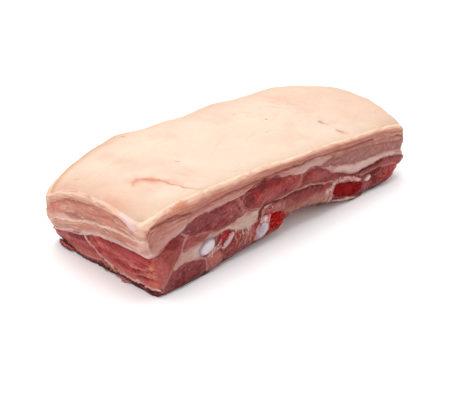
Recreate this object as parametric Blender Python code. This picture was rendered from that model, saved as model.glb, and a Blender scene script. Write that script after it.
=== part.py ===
"""Bone-in pork belly slab, rind up, as layered solids.

The slab is a block of layers that follow the skin: rind with its fat, an upper lean streak, the middle
fat with two pale muscles in it, the main lean, a thin fat seam and the rib meat. Rib bones and
cartilages run into the block from the sawn front face. Every table below is in millimetres: x is the
distance along the front face from the foot of the left cut end, y the distance back from the front
face and z the height over the surface it lies on. FOOT places that foot so that the middle of the
slab's base is the origin.
"""

import math

import bmesh
import bpy
import numpy as np

MM = 0.001
COLLECTION = "pork_belly_slab"

# Driving dimensions, in millimetres.
FOOT = (-116.3, -54.45)
LEFT_TOP = -12.0
RIGHT_END = 240.0
WIDTH = 104.0
GAP = 0.3
THINNEST_LAYER = 1.1
ON_SIDE = 1e-4
STEEP = 0.5

# The rind's height along the front edge, and how it changes going back from there.
TOP_FRONT = ((-14, 55), (-5, 58), (15, 59.5), (45, 58.8), (75, 58), (100, 57), (115, 54.6), (146, 53.2),
             (180, 49.4), (214, 46.5), (240, 40.5))
TOP_BACKWARDS_AT_LEFT_END = ((0, 0), (20, -0.5), (32, 1), (48, 0.3), (66, -1), (80, -4), (88, -7),
                             (94, -10.5), (104, -15.5))
TOP_BACKWARDS = ((0, 0), (25, 1), (55, 2.6), (80, 2.6), (94, 1.2), (104, -2))
TOP_BACKWARDS_AT_RIGHT_END = ((0, 0), (14, 2.4), (29, 5), (43, 7.2), (57, 8), (75, 8.5), (89, 8), (104, 6))
TOP_END_REACH = 28.0
RIGHT_RISE_FROM = 100.0

# The underside: an arch under the front edge between two ribs, and edges that lift at the far end
# and the back.
UNDERSIDE_FRONT = ((-14, 0), (28, 0.2), (38, 1.6), (57, 3.4), (82, 4.6), (93, 5), (103, 5.6), (110, 9.5),
                   (120, 11.5), (131, 11.5), (142, 9), (160, 5.6), (176, 2.6), (187, 0), (193, 0), (199, 2),
                   (214, 1), (224, 1.4), (233, 6), (240, 10))
ARCH_DEPTH = 20.0
RIGHT_LIFT, RIGHT_LIFT_REACH = 8.0, 9.0
BACK_LIFT, BACK_LIFT_REACH = 3.0, 8.0
PRESSED_FLAT = 0.2

# Each boundary between layers: its height along the front face, its height across the left cut end, and
# how far along the slab the cut end's course is felt.
RIND_FAT_BOTTOM = {
    "front": ((-14, 43.2), (-12, 43.8), (-7, 49.3), (0, 50.8), (25, 51), (60, 52.3), (95, 51.6), (125, 50.3),
              (150, 48.8), (180, 45.8), (210, 43.4), (240, 36)),
    "end": ((0, 43.8), (5, 43.2), (10, 43.6), (16, 48.7), (22, 50.4), (36, 50.2), (51, 48), (69, 45.9),
            (81, 40.5), (89, 36.9), (96, 32.2), (103, 27)),
    "reach": 30.0,
}
STREAK_BOTTOM = {
    "front": ((-14, 41), (-12, 41.7), (-7, 48), (0, 49.5), (25, 48.4), (60, 49.8), (95, 49.1), (125, 47.8),
              (150, 46.1), (180, 42.9), (210, 40.8), (240, 32.8)),
    "end": ((0, 41.7), (5, 39), (11, 37.7), (26, 38.5), (46, 36.5), (63, 33.5), (72, 31.4), (86, 25.6),
            (94, 21.6), (103, 15.8)),
    "reach": 60.0,
}
MAIN_LEAN_TOP = {
    "front": ((-14, 28), (-12, 28.5), (-5, 30), (3, 35), (16, 38.5), (28, 42.3), (50, 43.5), (73, 44.5),
              (90, 46.6), (108, 44), (124, 40), (135, 41), (145, 38.5), (157, 30.5), (170, 25.8),
              (183, 20.5), (200, 21), (214, 22.5), (240, 17.5)),
    "end": ((0, 28.5), (7, 27), (16, 27.4), (37, 26.6), (55, 23.4), (63, 20.6), (75, 19.5), (85, 16),
            (95, 12.5), (103, 10.6)),
    "reach": 60.0,
}
MAIN_LEAN_BOTTOM = {
    "front": ((-14, 3.2), (-2, 3.6), (4, 9.5), (10, 16.5), (18, 21.5), (30, 23.2), (39, 27), (50, 26.6),
              (68, 27.5), (86, 29), (109, 30), (124, 29.8), (141, 28), (158, 24), (170, 21.5), (183, 19),
              (204, 16.6), (222, 15.6), (240, 10.8)),
    "end": ((0, 3.6), (20, 4.4), (40, 5.6), (51, 7.2), (62, 4.4), (80, 4), (95, 5.4), (103, 8)),
    "reach": 60.0,
}
SEAM_BOTTOM = {
    "front": ((-14, 1.9), (-2, 2.2), (4, 7.6), (12, 14.4), (26, 14.4), (38, 12.2), (46, 15.5), (54, 25.2),
              (62, 23.6), (68, 20.8), (77, 19.3), (86, 22.5), (94, 27.2), (109, 28.8), (124, 28.4),
              (141, 26.8), (158, 22.8), (170, 20.3), (183, 17.8), (204, 15.4), (222, 14.2), (240, 9.6)),
    "end": ((0, 2.2), (20, 3), (40, 4.2), (51, 5.8), (62, 3), (80, 2.6), (95, 4), (103, 6.6)),
    "reach": 60.0,
}
BOUNDARIES = (RIND_FAT_BOTTOM, STREAK_BOTTOM, MAIN_LEAN_TOP, MAIN_LEAN_BOTTOM, SEAM_BOTTOM)
TOP, RIND_FAT, STREAK, LEAN_TOP, LEAN_BOTTOM, SEAM, UNDERSIDE = range(7)

# The outer faces. Offsets go by the relative height: 0 at the underside, 1 at the rind.
LEFT_OVERHANG, LEFT_OVERHANG_HEIGHT, LEFT_OVERHANG_POWER = 12.5, 52.0, 1.4
LEFT_ROUNDING = ((0, 0), (50, 0), (75, -1.2), (95, -1.2), (104, 0))
LEFT_EDGE_ROUNDING = ((0, 0), (0.9, -1.2), (0.96, -0.8), (1, 1.6))
RIGHT_PLAN = ((0, 238.5), (11, 239), (30, 242), (47, 246), (63, 247), (81, 245), (94, 238), (102, 229))
RIGHT_PROFILE = ((0, -6), (0.12, -2), (0.25, 0), (0.45, -2.5), (0.62, 0), (0.85, -0.5), (1, -3))
FRONT_PROFILE = ((0, 3), (0.06, 1.4), (0.18, 0.3), (0.5, 0), (0.9, -0.3), (0.96, 0), (1, 1.2))
BACK_PLAN = ((-14, 101.5), (15, 101), (38, 104), (56, 108), (77, 104.5), (110, 103.5), (155, 104.5),
             (200, 104), (225, 99), (240, 92))
BACK_PROFILE = ((0, -3), (0.25, 1), (0.5, 1.5), (0.8, 0.5), (0.94, -0.5), (1, -2.5))

# The plan of a layer: a coarse inner grid, and how often the outer edge of each side is divided.
INNER_COLUMNS, INNER_ROWS = 10, 4
INNER_INSET = (0.035, 0.12)
BACK_CUTS, LEFT_CUTS, RIGHT_CUTS = 1, 2, 1
LAYER_FRONT_CUTS, MUSCLE_FRONT_CUTS = 4, 2

# Pale muscles inside the middle fat: their front course, and how far they taper along the slab.
MUSCLE_SKIN, MUSCLE_SKIN_INSIDE, MUSCLE_SKIN_DEPTH = 1.8, 4.4, 4.0
MOST_SKIN_SHARE = 0.3
NEAR_MUSCLE_FLOOR = ((-14, 5), (-7, 9), (1, 6.5), (16, 4.2), (30, 3.4), (50, 4.5), (70, 4.5))
NEAR_MUSCLE_FLOOR_DEPTH = 18.0
NEAR_MUSCLE_TIP = ((0, 44), (30, 62), (70, 70), (102, 58))
NEAR_MUSCLE_TAPER, FAR_MUSCLE_TAPER = 3, 4
FAR_MUSCLE_TOP = ((142, 40.5), (153, 42), (170, 41), (181, 40), (195, 38.4), (210, 36), (240, 29.5))
FAR_MUSCLE_FLOOR = ((142, 38.5), (150, 37), (161, 33), (171, 30.6), (182, 28.6), (199, 28), (211, 27.8),
                    (221, 25.5), (240, 20.8))
FAR_MUSCLE_TIP = 143.0
MUSCLE_EDGE = 1.2

# Ribs and cartilages: the centre of the section on the front face, its half sizes, its tilt in degrees,
# how square it is, and the share of the slab's width that it runs through.
RIBS = {
    "rib_cartilage_1": {"centre": (39.0, 19.2), "half": (6.8, 4.5), "tilt": 20, "square": 2.2, "run": 0.62},
    "rib_cartilage_2": {"centre": (57.5, 17.2), "half": (6.2, 1.9), "tilt": 42, "square": 2.4, "run": 0.5},
    "rib_cartilage_3": {"centre": (88.0, 12.6), "half": (6.2, 5.2), "tilt": 35, "square": 2.4, "run": 0.7},
    "rib_bone_3": {"centre": (102.2, 14.2), "half": (7.0, 6.5), "tilt": -15, "square": 2.6, "run": 1.0},
    "rib_bone_4": {"centre": (176.5, 10.6), "half": (17.0, 5.4), "tilt": -17, "square": 3.2, "run": 1.0},
    "rib_cartilage_4": {"centre": (197.5, 12.2), "half": (3.6, 1.9), "tilt": 15, "square": 2.2, "run": 0.35},
}
RIB_PROUD = 0.4
RIB_SIDES, RIB_LENGTH_CUTS = 16, 2
RIB_END_FROM, RIB_END_SHRINK = 0.85, 0.6
CUTTER_PROUD = 8.0
COLLAR = 0.08

# The layers from the rind down: which levels each lies between, the rows of faces on its walls, and how
# far they bulge.
LAYERS = {
    "rind_fat_cap": (TOP, RIND_FAT, 3, 0.3),
    "upper_lean_streak": (RIND_FAT, STREAK, 1, 0.5),
    "middle_fat": (STREAK, LEAN_TOP, 2, 0.3),
    "main_lean": (LEAN_TOP, LEAN_BOTTOM, 3, 1.0),
    "rib_fat_seam": (LEAN_BOTTOM, SEAM, 1, 0.0),
    "rib_meat": (SEAM, UNDERSIDE, 3, 0.9),
}
LAYERS_ROUND_RIBS = ("main_lean", "rib_fat_seam", "rib_meat")

# Colour, roughness and metallic value of each node's material.
FINISHES = {
    "rind_fat_cap": ((0.93, 0.72, 0.56), 0.45, 0.0),
    "upper_lean_streak": ((0.58, 0.22, 0.16), 0.4, 0.0),
    "middle_fat": ((0.72, 0.46, 0.38), 0.4, 0.0),
    "pale_muscle_near": ((0.50, 0.24, 0.19), 0.4, 0.0),
    "pale_muscle_far": ((0.42, 0.19, 0.15), 0.4, 0.0),
    "main_lean": ((0.33, 0.08, 0.07), 0.35, 0.0),
    "rib_fat_seam": ((0.62, 0.40, 0.34), 0.4, 0.0),
    "rib_meat": ((0.30, 0.09, 0.08), 0.35, 0.0),
    "rib_bone": ((0.36, 0.02, 0.02), 0.35, 0.0),
    "rib_cartilage": ((0.62, 0.55, 0.60), 0.35, 0.0),
}


def curve(points, at):
    """A smooth curve through (position, value) points that never overshoots them."""
    xs, ys = (np.array(column, float) for column in zip(*points))
    at = np.clip(np.asarray(at, float), xs[0], xs[-1])
    steps = np.diff(ys) / np.diff(xs)
    slopes = np.zeros_like(xs)
    same_way = steps[:-1] * steps[1:] > 0
    slopes[1:-1][same_way] = 2 / (1 / steps[:-1][same_way] + 1 / steps[1:][same_way])
    slopes[0], slopes[-1] = steps[0], steps[-1]
    k = np.clip(np.searchsorted(xs, at, side="right") - 1, 0, len(xs) - 2)
    width = xs[k + 1] - xs[k]
    t = (at - xs[k]) / width
    return (
        (2 * t**3 - 3 * t**2 + 1) * ys[k]
        + (t**3 - 2 * t**2 + t) * width * slopes[k]
        + (3 * t**2 - 2 * t**3) * ys[k + 1]
        + (t**3 - t**2) * width * slopes[k + 1]
    )


def top_height(x, y):
    left_share = np.exp(-(x - LEFT_TOP) / TOP_END_REACH)
    right_share = np.clip((x - RIGHT_RISE_FROM) / (RIGHT_END - RIGHT_RISE_FROM), 0, 1)
    backwards = curve(TOP_BACKWARDS, y)
    backwards = backwards * (1 - right_share) + curve(TOP_BACKWARDS_AT_RIGHT_END, y) * right_share
    backwards = backwards * (1 - left_share) + curve(TOP_BACKWARDS_AT_LEFT_END, y) * left_share
    return curve(TOP_FRONT, x) + backwards


def underside_height(x, y):
    arch = curve(UNDERSIDE_FRONT, x) * np.exp(-((y / ARCH_DEPTH) ** 2))
    right = RIGHT_LIFT * np.exp(-(((RIGHT_END - x) / RIGHT_LIFT_REACH) ** 2))
    right = right * np.clip(y / ARCH_DEPTH, 0, 1)
    back = BACK_LIFT * np.exp(-(((WIDTH - y) / BACK_LIFT_REACH) ** 2))
    return np.maximum(arch + right + back - PRESSED_FLAT, 0.0)


def levels(x, y):
    """Heights of the rind, the five boundaries and the underside at a place in the plan."""
    top, under = top_height(x, y), underside_height(x, y)
    front_top, front_under = top_height(x, 0 * y), underside_height(x, 0 * y)
    end_x = 0 * x + LEFT_TOP
    end_top, end_under = top_height(end_x, y), underside_height(end_x, y)
    corner_top, corner_under = top_height(end_x, 0 * y), underside_height(end_x, 0 * y)
    heights = [top]
    for rule in BOUNDARIES:
        front = (front_top - curve(rule["front"], x)) / (front_top - front_under)
        end = (end_top - curve(rule["end"], y)) / (end_top - end_under)
        corner = (corner_top - curve(rule["end"], 0 * y)) / (corner_top - corner_under)
        share = front + (end - corner) * np.exp(-(x - LEFT_TOP) / rule["reach"])
        heights.append(np.minimum(top - share * (top - under), heights[-1] - THINNEST_LAYER))
    heights.append(under)
    for above in range(len(heights) - 2, 0, -1):
        heights[above] = np.maximum(heights[above], heights[above + 1] + THINNEST_LAYER)
    return heights


def front_face(relative):
    return curve(FRONT_PROFILE, relative)


def back_face(x, relative):
    return curve(BACK_PLAN, x) + curve(BACK_PROFILE, relative)


def left_face(y, z, relative):
    overhang = LEFT_OVERHANG * (np.maximum(z, 0) / LEFT_OVERHANG_HEIGHT) ** LEFT_OVERHANG_POWER
    return curve(LEFT_ROUNDING, y) + curve(LEFT_EDGE_ROUNDING, relative) - overhang


def right_face(y, relative):
    return curve(RIGHT_PLAN, y) + curve(RIGHT_PROFILE, relative)


def placed(u, v, z):
    """Where a point lies that is u along, v back and z high in the slab, between its outer faces."""
    x = LEFT_TOP + (RIGHT_END - LEFT_TOP) * u
    y = WIDTH * v
    top, under = top_height(x, y), underside_height(x, y)
    relative = np.clip((z - under) / (top - under), 0, 1)
    x = left_face(y, z, relative) * (1 - u) + right_face(y, relative) * u
    y = front_face(relative) * (1 - v) + back_face(x, relative) * v
    return x, y


def plan_sheet(front_cuts):
    """A unit square, coarse inside and finely divided along its edge, as a triangulated flat mesh."""
    sheet = bmesh.new()
    bmesh.ops.create_grid(sheet, x_segments=INNER_COLUMNS, y_segments=INNER_ROWS, size=0.5)
    bmesh.ops.translate(sheet, verts=sheet.verts, vec=(0.5, 0.5, 0))
    rim = [edge for edge in sheet.edges if edge.is_boundary]
    grown = bmesh.ops.extrude_edge_only(sheet, edges=rim)["geom"]
    outer = {item for item in grown if isinstance(item, bmesh.types.BMVert)}
    for vert in sheet.verts:
        if vert not in outer:
            vert.co.x = INNER_INSET[0] + vert.co.x * (1 - 2 * INNER_INSET[0])
            vert.co.y = INNER_INSET[1] + vert.co.y * (1 - 2 * INNER_INSET[1])
    sides = (
        (lambda p: p.y < ON_SIDE, front_cuts),
        (lambda p: p.y > 1 - ON_SIDE, BACK_CUTS),
        (lambda p: p.x < ON_SIDE, LEFT_CUTS),
        (lambda p: p.x > 1 - ON_SIDE, RIGHT_CUTS),
    )
    for on_side, cuts in sides:
        edges = [edge for edge in sheet.edges if edge.is_boundary and all(on_side(v.co) for v in edge.verts)]
        bmesh.ops.subdivide_edges(sheet, edges=edges, cuts=cuts)
    bmesh.ops.triangulate(sheet, faces=sheet.faces)
    return sheet


def upright_edges(shape):
    return [edge for edge in shape.edges if abs(edge.verts[0].co.z - edge.verts[1].co.z) > STEEP]


def unit_block(rows, front_cuts=LAYER_FRONT_CUTS):
    """The plan sheet drawn up to a block one high, its walls divided into rows."""
    block = plan_sheet(front_cuts)
    floor = list(block.faces)
    grown = bmesh.ops.extrude_face_region(block, geom=floor, use_keep_orig=True)["geom"]
    lid = [item for item in grown if isinstance(item, bmesh.types.BMVert)]
    bmesh.ops.translate(block, verts=lid, vec=(0, 0, 1))
    upright = upright_edges(block)
    if rows > 1:
        bmesh.ops.subdivide_edges(block, edges=upright, cuts=rows - 1, use_grid_fill=True)
    return block


def add_collar(block, inner_end):
    """Draws a cutter's walls outwards where it opens on the slab's faces, not at its inner end."""
    block.normal_update()
    upright = [face for face in block.faces if abs(face.normal.z) < STEEP]
    walls = [face for face in upright if any(abs(vert.co.x - inner_end) > ON_SIDE for vert in face.verts)]
    grown = bmesh.ops.extrude_face_region(block, geom=walls)["geom"]
    bmesh.ops.delete(block, geom=walls, context="FACES")
    for vert in grown:
        if isinstance(vert, bmesh.types.BMVert):
            if abs(vert.co.x - (1 - inner_end)) < ON_SIDE:
                vert.co.x += COLLAR * (1 - 2 * inner_end)
            vert.co.y += COLLAR * ((vert.co.y > 1 - ON_SIDE) - (vert.co.y < ON_SIDE))


def coordinates(mesh):
    return np.array([vert.co for vert in mesh.verts], float).T


def move_to(mesh, x, y, z):
    for vert, place in zip(mesh.verts, np.column_stack([x + FOOT[0], y + FOOT[1], z]) * MM):
        vert.co = place
    mesh.normal_update()
    bmesh.ops.recalc_face_normals(mesh, faces=mesh.faces)


def material_named(name):
    material = bpy.data.materials.get(name)
    if material is None:
        colour, roughness, metallic = FINISHES[name]
        material = bpy.data.materials.new(name)
        material.use_nodes = True
        shader = material.node_tree.nodes["Principled BSDF"]
        shader.inputs["Base Color"].default_value = (*colour, 1)
        shader.inputs["Roughness"].default_value = roughness
        shader.inputs["Metallic"].default_value = metallic
        material.diffuse_color = (*colour, 1)
    return material


def new_object(name, shape, collection, finish=None):
    mesh = bpy.data.meshes.new(name)
    shape.to_mesh(mesh)
    shape.free()
    made = bpy.data.objects.new(name, mesh)
    collection.objects.link(made)
    if finish:
        mesh.materials.append(material_named(finish))
        mesh.shade_smooth()
        mesh.set_sharp_from_angle(angle=math.radians(50))
    return made


def bulge_walls(u, v, w, x, y, bulge):
    """Pushes the walls of a layer outwards, most at half its height."""
    out = bulge * 4 * w * (1 - w)
    x = x + out * ((u > 1 - ON_SIDE).astype(float) - (u < ON_SIDE))
    y = y + out * ((v > 1 - ON_SIDE).astype(float) - (v < ON_SIDE))
    return x, y


def layer(name, collection):
    upper, lower, rows, bulge = LAYERS[name]
    block = unit_block(rows)
    u, v, w = coordinates(block)
    heights = levels(LEFT_TOP + (RIGHT_END - LEFT_TOP) * u, WIDTH * v)
    high = heights[upper] - (GAP / 2 if upper != TOP else 0)
    low = heights[lower] + (GAP / 2 if lower != UNDERSIDE else 0)
    z = low + (high - low) * w
    x, y = placed(u, v, z)
    x, y = bulge_walls(u, v, w, x, y, bulge)
    move_to(block, x, y, z)
    return new_object(name, block, collection, name)


def fat_skin(x, y, depth):
    """Thickness of the fat over and under a pale muscle: thin where it shows, thicker inside."""
    nearest = np.minimum(np.minimum(x - LEFT_TOP, RIGHT_END - x), np.minimum(y, WIDTH - y))
    wanted = MUSCLE_SKIN + (MUSCLE_SKIN_INSIDE - MUSCLE_SKIN) * np.clip(nearest / MUSCLE_SKIN_DEPTH, 0, 1)
    return np.minimum(wanted, MOST_SKIN_SHARE * depth)


def near_muscle_course(u, v):
    """Plan place and heights of the pale muscle that shows at the left cut end."""
    y = WIDTH * v
    x = LEFT_TOP + (curve(NEAR_MUSCLE_TIP, y) - LEFT_TOP) * u
    heights = levels(x, y)
    skin = fat_skin(x, y, heights[STREAK] - heights[LEAN_TOP])
    inside = np.clip(y / NEAR_MUSCLE_FLOOR_DEPTH, 0, 1)
    floor = np.maximum(curve(NEAR_MUSCLE_FLOOR, x) * (1 - inside), skin)
    return x, heights[STREAK] - skin, heights[LEAN_TOP] + floor, 1 - u**NEAR_MUSCLE_TAPER


def far_muscle_course(u, v):
    """Plan place and heights of the pale muscle that shows on the front face towards the far end."""
    y = WIDTH * v
    x = FAR_MUSCLE_TIP + (RIGHT_END - FAR_MUSCLE_TIP) * u
    heights, front = levels(x, y), levels(x, 0 * y)
    depth = front[STREAK] - front[LEAN_TOP]
    top_share = (front[STREAK] - curve(FAR_MUSCLE_TOP, x)) / depth
    floor_share = (front[STREAK] - curve(FAR_MUSCLE_FLOOR, x)) / depth
    here = heights[STREAK] - heights[LEAN_TOP]
    skin = fat_skin(x, y, here)
    high = np.minimum(heights[STREAK] - top_share * here, heights[STREAK] - skin)
    low = np.maximum(heights[STREAK] - floor_share * here, heights[LEAN_TOP] + skin)
    return x, high, low, 1 - (1 - u) ** FAR_MUSCLE_TAPER


def muscle(name, course, inner_end, collection, grow=0.0, finish=None):
    """A muscle that tapers to a thin edge inside the fat. Grown, it is the cutter of its own pocket."""
    block = unit_block(1, MUSCLE_FRONT_CUTS)
    if grow:
        add_collar(block, inner_end)
    u, v, w = coordinates(block)
    past_u, past_v = u - np.clip(u, 0, 1), v - np.clip(v, 0, 1)
    u, v = u - past_u, v - past_v
    x, high, low, fullness = course(u, v)
    middle = (high + low) / 2
    half = np.maximum((high - low) / 2 * fullness, MUSCLE_EDGE / 2) + grow
    z = middle + half * (2 * w - 1)
    x, y = placed((x - LEFT_TOP) / (RIGHT_END - LEFT_TOP), v, z)
    x = x + past_u * WIDTH + grow * (2 * inner_end - 1) * (np.abs(u - inner_end) < ON_SIDE)
    y = y + past_v * WIDTH
    move_to(block, x, y, z)
    return new_object(name, block, collection, finish)


def rib(name, size, collection, grow=0.0, finish=None):
    """A rib or cartilage: a rounded section that runs back from the front face."""
    shape = bmesh.new()
    bmesh.ops.create_cone(shape, cap_ends=True, segments=RIB_SIDES, radius1=1, radius2=1, depth=1)
    bmesh.ops.subdivide_edges(shape, edges=upright_edges(shape), cuts=RIB_LENGTH_CUTS)
    across, up, along = coordinates(shape)
    along = along + 0.5
    angle = np.arctan2(up, across)
    power = 2 / size["square"]
    end = np.clip((along - RIB_END_FROM) / (1 - RIB_END_FROM), 0, 1)
    taper = np.sqrt(1 - RIB_END_SHRINK * end**2) if size["run"] < 1 else 1 + 0 * end
    a = (size["half"][0] * taper + grow) * np.sign(np.cos(angle)) * np.abs(np.cos(angle)) ** power
    b = (size["half"][1] * taper + grow) * np.sign(np.sin(angle)) * np.abs(np.sin(angle)) ** power
    tilt = math.radians(size["tilt"])
    x = size["centre"][0] + a * math.cos(tilt) - b * math.sin(tilt)
    z = size["centre"][1] + a * math.sin(tilt) + b * math.cos(tilt)
    relative = z / top_height(x, 0 * x)
    proud = CUTTER_PROUD if grow else RIB_PROUD
    start = front_face(relative) - proud
    through = back_face(x, relative) + proud
    finish_y = through if size["run"] == 1 else size["run"] * WIDTH + grow
    y = start + (finish_y - start) * along
    move_to(shape, x, y, z)
    return new_object(name, shape, collection, finish)


def cut(body, cutter):
    cutter.hide_render = True
    cutter.display_type = "WIRE"
    boolean = body.modifiers.new(cutter.name, "BOOLEAN")
    boolean.operation = "DIFFERENCE"
    boolean.solver = "EXACT"
    boolean.object = cutter


def collection_named(name):
    collection = bpy.data.collections.get(name) or bpy.data.collections.new(name)
    if collection.name not in bpy.context.scene.collection.children:
        bpy.context.scene.collection.children.link(collection)
    return collection


def main():
    for old in list(bpy.data.objects):
        bpy.data.objects.remove(old, do_unlink=True)
    slab = collection_named(COLLECTION)
    cutters = collection_named(COLLECTION + "_cutters")

    layers = {name: layer(name, slab) for name in LAYERS}

    pale_muscles = (("pale_muscle_near", near_muscle_course, 1), ("pale_muscle_far", far_muscle_course, 0))
    for name, course, inner_end in pale_muscles:
        muscle(name, course, inner_end, slab, finish=name)
        cut(layers["middle_fat"], muscle(name + "_pocket", course, inner_end, cutters, grow=GAP))

    for name, size in RIBS.items():
        rib(name, size, slab, finish=name.rsplit("_", 1)[0])
        tunnel = rib(name + "_tunnel", size, cutters, grow=GAP)
        for surrounding in LAYERS_ROUND_RIBS:
            cut(layers[surrounding], tunnel)


main()
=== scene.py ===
"""Bone-in pork belly slab, rind up: the finish of every tissue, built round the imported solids.

Lengths in the tables are in millimetres on the slab: x along the sawn rib face from the foot of the
left cut end, y back from that face, z up. Colours are sRGB hex.
"""

import math

import bmesh
import bpy
import numpy as np
from bpy.props import FloatProperty, FloatVectorProperty, PointerProperty
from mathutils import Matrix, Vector


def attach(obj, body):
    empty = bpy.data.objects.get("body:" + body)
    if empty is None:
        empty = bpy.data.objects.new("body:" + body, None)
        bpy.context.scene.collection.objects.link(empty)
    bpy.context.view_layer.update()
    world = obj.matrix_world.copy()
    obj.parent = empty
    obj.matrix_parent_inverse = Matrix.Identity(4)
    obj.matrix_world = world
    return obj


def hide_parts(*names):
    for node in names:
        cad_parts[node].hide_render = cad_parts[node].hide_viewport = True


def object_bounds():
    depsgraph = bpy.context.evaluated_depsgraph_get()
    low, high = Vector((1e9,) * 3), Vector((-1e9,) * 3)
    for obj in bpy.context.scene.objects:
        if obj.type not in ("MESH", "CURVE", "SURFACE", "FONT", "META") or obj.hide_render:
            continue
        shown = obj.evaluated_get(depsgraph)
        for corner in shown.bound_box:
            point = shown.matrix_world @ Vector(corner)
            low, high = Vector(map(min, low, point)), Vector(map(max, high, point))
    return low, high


bl_info = {
    "name": "Pork Belly Slab",
    "version": (1, 0, 0),
    "blender": (4, 5, 0),
    "location": "3D View > Sidebar > Slab",
    "description": "Builds the finished tissues of a bone-in pork belly slab",
    "category": "Add Mesh",
}

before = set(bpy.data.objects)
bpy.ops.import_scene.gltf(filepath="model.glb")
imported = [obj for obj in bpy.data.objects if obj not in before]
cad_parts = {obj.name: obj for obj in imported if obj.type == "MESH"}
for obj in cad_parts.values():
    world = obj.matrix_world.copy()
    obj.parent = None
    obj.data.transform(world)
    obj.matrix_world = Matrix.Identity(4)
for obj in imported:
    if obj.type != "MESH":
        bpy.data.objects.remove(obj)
CAD_LOW, CAD_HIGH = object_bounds()

MM = 0.001
# How far the solids reach past the foot of the left cut end and past the sawn face, which places the tables.
RIND_OVERHANG, LEAN_BULGE = 14.56, 0.65
FOOT = (CAD_LOW.x / MM + RIND_OVERHANG, CAD_LOW.y / MM + LEAN_BULGE)

# The slab's outline and layers, as the solids have them.
LEFT_TOP, RIGHT_END, WIDTH = -12.0, 240.0, 104.0
LENGTH = RIGHT_END - LEFT_TOP
THINNEST_LAYER = 1.1
# On a unit block: how near a side counts as on it, and what rise makes an edge upright.
ON_SIDE = 1e-4
STEEP = 0.5

# Height of the rind along the sawn face, and how it goes on from there towards the back.
TOP_FRONT = ((-14, 55), (-5, 58), (15, 59.5), (45, 58.8), (75, 58), (100, 57), (115, 54.6), (146, 53.2),
             (180, 49.4), (214, 46.5), (240, 40.5))
TOP_BACKWARDS_AT_LEFT_END = ((0, 0), (20, -0.5), (32, 1), (48, 0.3), (66, -1), (80, -4), (88, -7),
                             (94, -10.5), (104, -15.5))
TOP_BACKWARDS = ((0, 0), (25, 1), (55, 2.6), (80, 2.6), (94, 1.2), (104, -2))
TOP_BACKWARDS_AT_RIGHT_END = ((0, 0), (14, 2.4), (29, 5), (43, 7.2), (57, 8), (75, 8.5), (89, 8), (104, 6))
TOP_END_REACH = 28.0
RIGHT_RISE_FROM = 100.0

# The low arch under the sawn face, and the rounded lower edges at the right and the back.
UNDERSIDE_FRONT = ((-14, 0), (28, 0.2), (38, 1.6), (57, 3.4), (82, 4.6), (93, 5), (103, 5.6), (110, 9.5),
                   (120, 11.5), (131, 11.5), (142, 9), (160, 5.6), (176, 2.6), (187, 0), (193, 0), (199, 2),
                   (214, 1), (224, 1.4), (233, 6), (240, 10))
ARCH_DEPTH = 20.0
RIGHT_LIFT, RIGHT_LIFT_REACH = 8.0, 9.0
BACK_LIFT, BACK_LIFT_REACH = 3.0, 8.0
PRESSED_FLAT = 0.2

# Heights of the five boundaries between the layers, on the sawn face and on the left cut end.
BOUNDARIES = (
    {"reach": 30.0,
     "front": ((-14, 43.2), (-12, 43.8), (-7, 49.3), (0, 50.8), (25, 51), (60, 52.3), (95, 51.6),
               (125, 50.3), (150, 48.8), (180, 45.8), (210, 43.4), (240, 36)),
     "end": ((0, 43.8), (5, 43.2), (10, 43.6), (16, 48.7), (22, 50.4), (36, 50.2), (51, 48), (69, 45.9),
             (81, 40.5), (89, 36.9), (96, 32.2), (103, 27))},
    {"reach": 60.0,
     "front": ((-14, 41), (-12, 41.7), (-7, 48), (0, 49.5), (25, 48.4), (60, 49.8), (95, 49.1), (125, 47.8),
               (150, 46.1), (180, 42.9), (210, 40.8), (240, 32.8)),
     "end": ((0, 41.7), (5, 39), (11, 37.7), (26, 38.5), (46, 36.5), (63, 33.5), (72, 31.4), (86, 25.6),
             (94, 21.6), (103, 15.8))},
    {"reach": 60.0,
     "front": ((-14, 28), (-12, 28.5), (-5, 30), (3, 35), (16, 38.5), (28, 42.3), (50, 43.5), (73, 44.5),
               (90, 46.6), (108, 44), (124, 40), (135, 41), (145, 38.5), (157, 30.5), (170, 25.8),
               (183, 20.5), (200, 21), (214, 22.5), (240, 17.5)),
     "end": ((0, 28.5), (7, 27), (16, 27.4), (37, 26.6), (55, 23.4), (63, 20.6), (75, 19.5), (85, 16),
             (95, 12.5), (103, 10.6))},
    {"reach": 60.0,
     "front": ((-14, 3.2), (-2, 3.6), (4, 9.5), (10, 16.5), (18, 21.5), (30, 23.2), (39, 27), (50, 26.6),
               (68, 27.5), (86, 29), (109, 30), (124, 29.8), (141, 28), (158, 24), (170, 21.5), (183, 19),
               (204, 16.6), (222, 15.6), (240, 10.8)),
     "end": ((0, 3.6), (20, 4.4), (40, 5.6), (51, 7.2), (62, 4.4), (80, 4), (95, 5.4), (103, 8))},
    {"reach": 60.0,
     "front": ((-14, 1.9), (-2, 2.2), (4, 7.6), (12, 14.4), (26, 14.4), (38, 12.2), (46, 15.5), (54, 25.2),
               (62, 23.6), (68, 20.8), (77, 19.3), (86, 22.5), (94, 27.2), (109, 28.8), (124, 28.4),
               (141, 26.8), (158, 22.8), (170, 20.3), (183, 17.8), (204, 15.4), (222, 14.2), (240, 9.6)),
     "end": ((0, 2.2), (20, 3), (40, 4.2), (51, 5.8), (62, 3), (80, 2.6), (95, 4), (103, 6.6))},
)
TOP, RIND_FAT, STREAK, LEAN_TOP, LEAN_BOTTOM, SEAM, UNDERSIDE = range(7)

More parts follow.
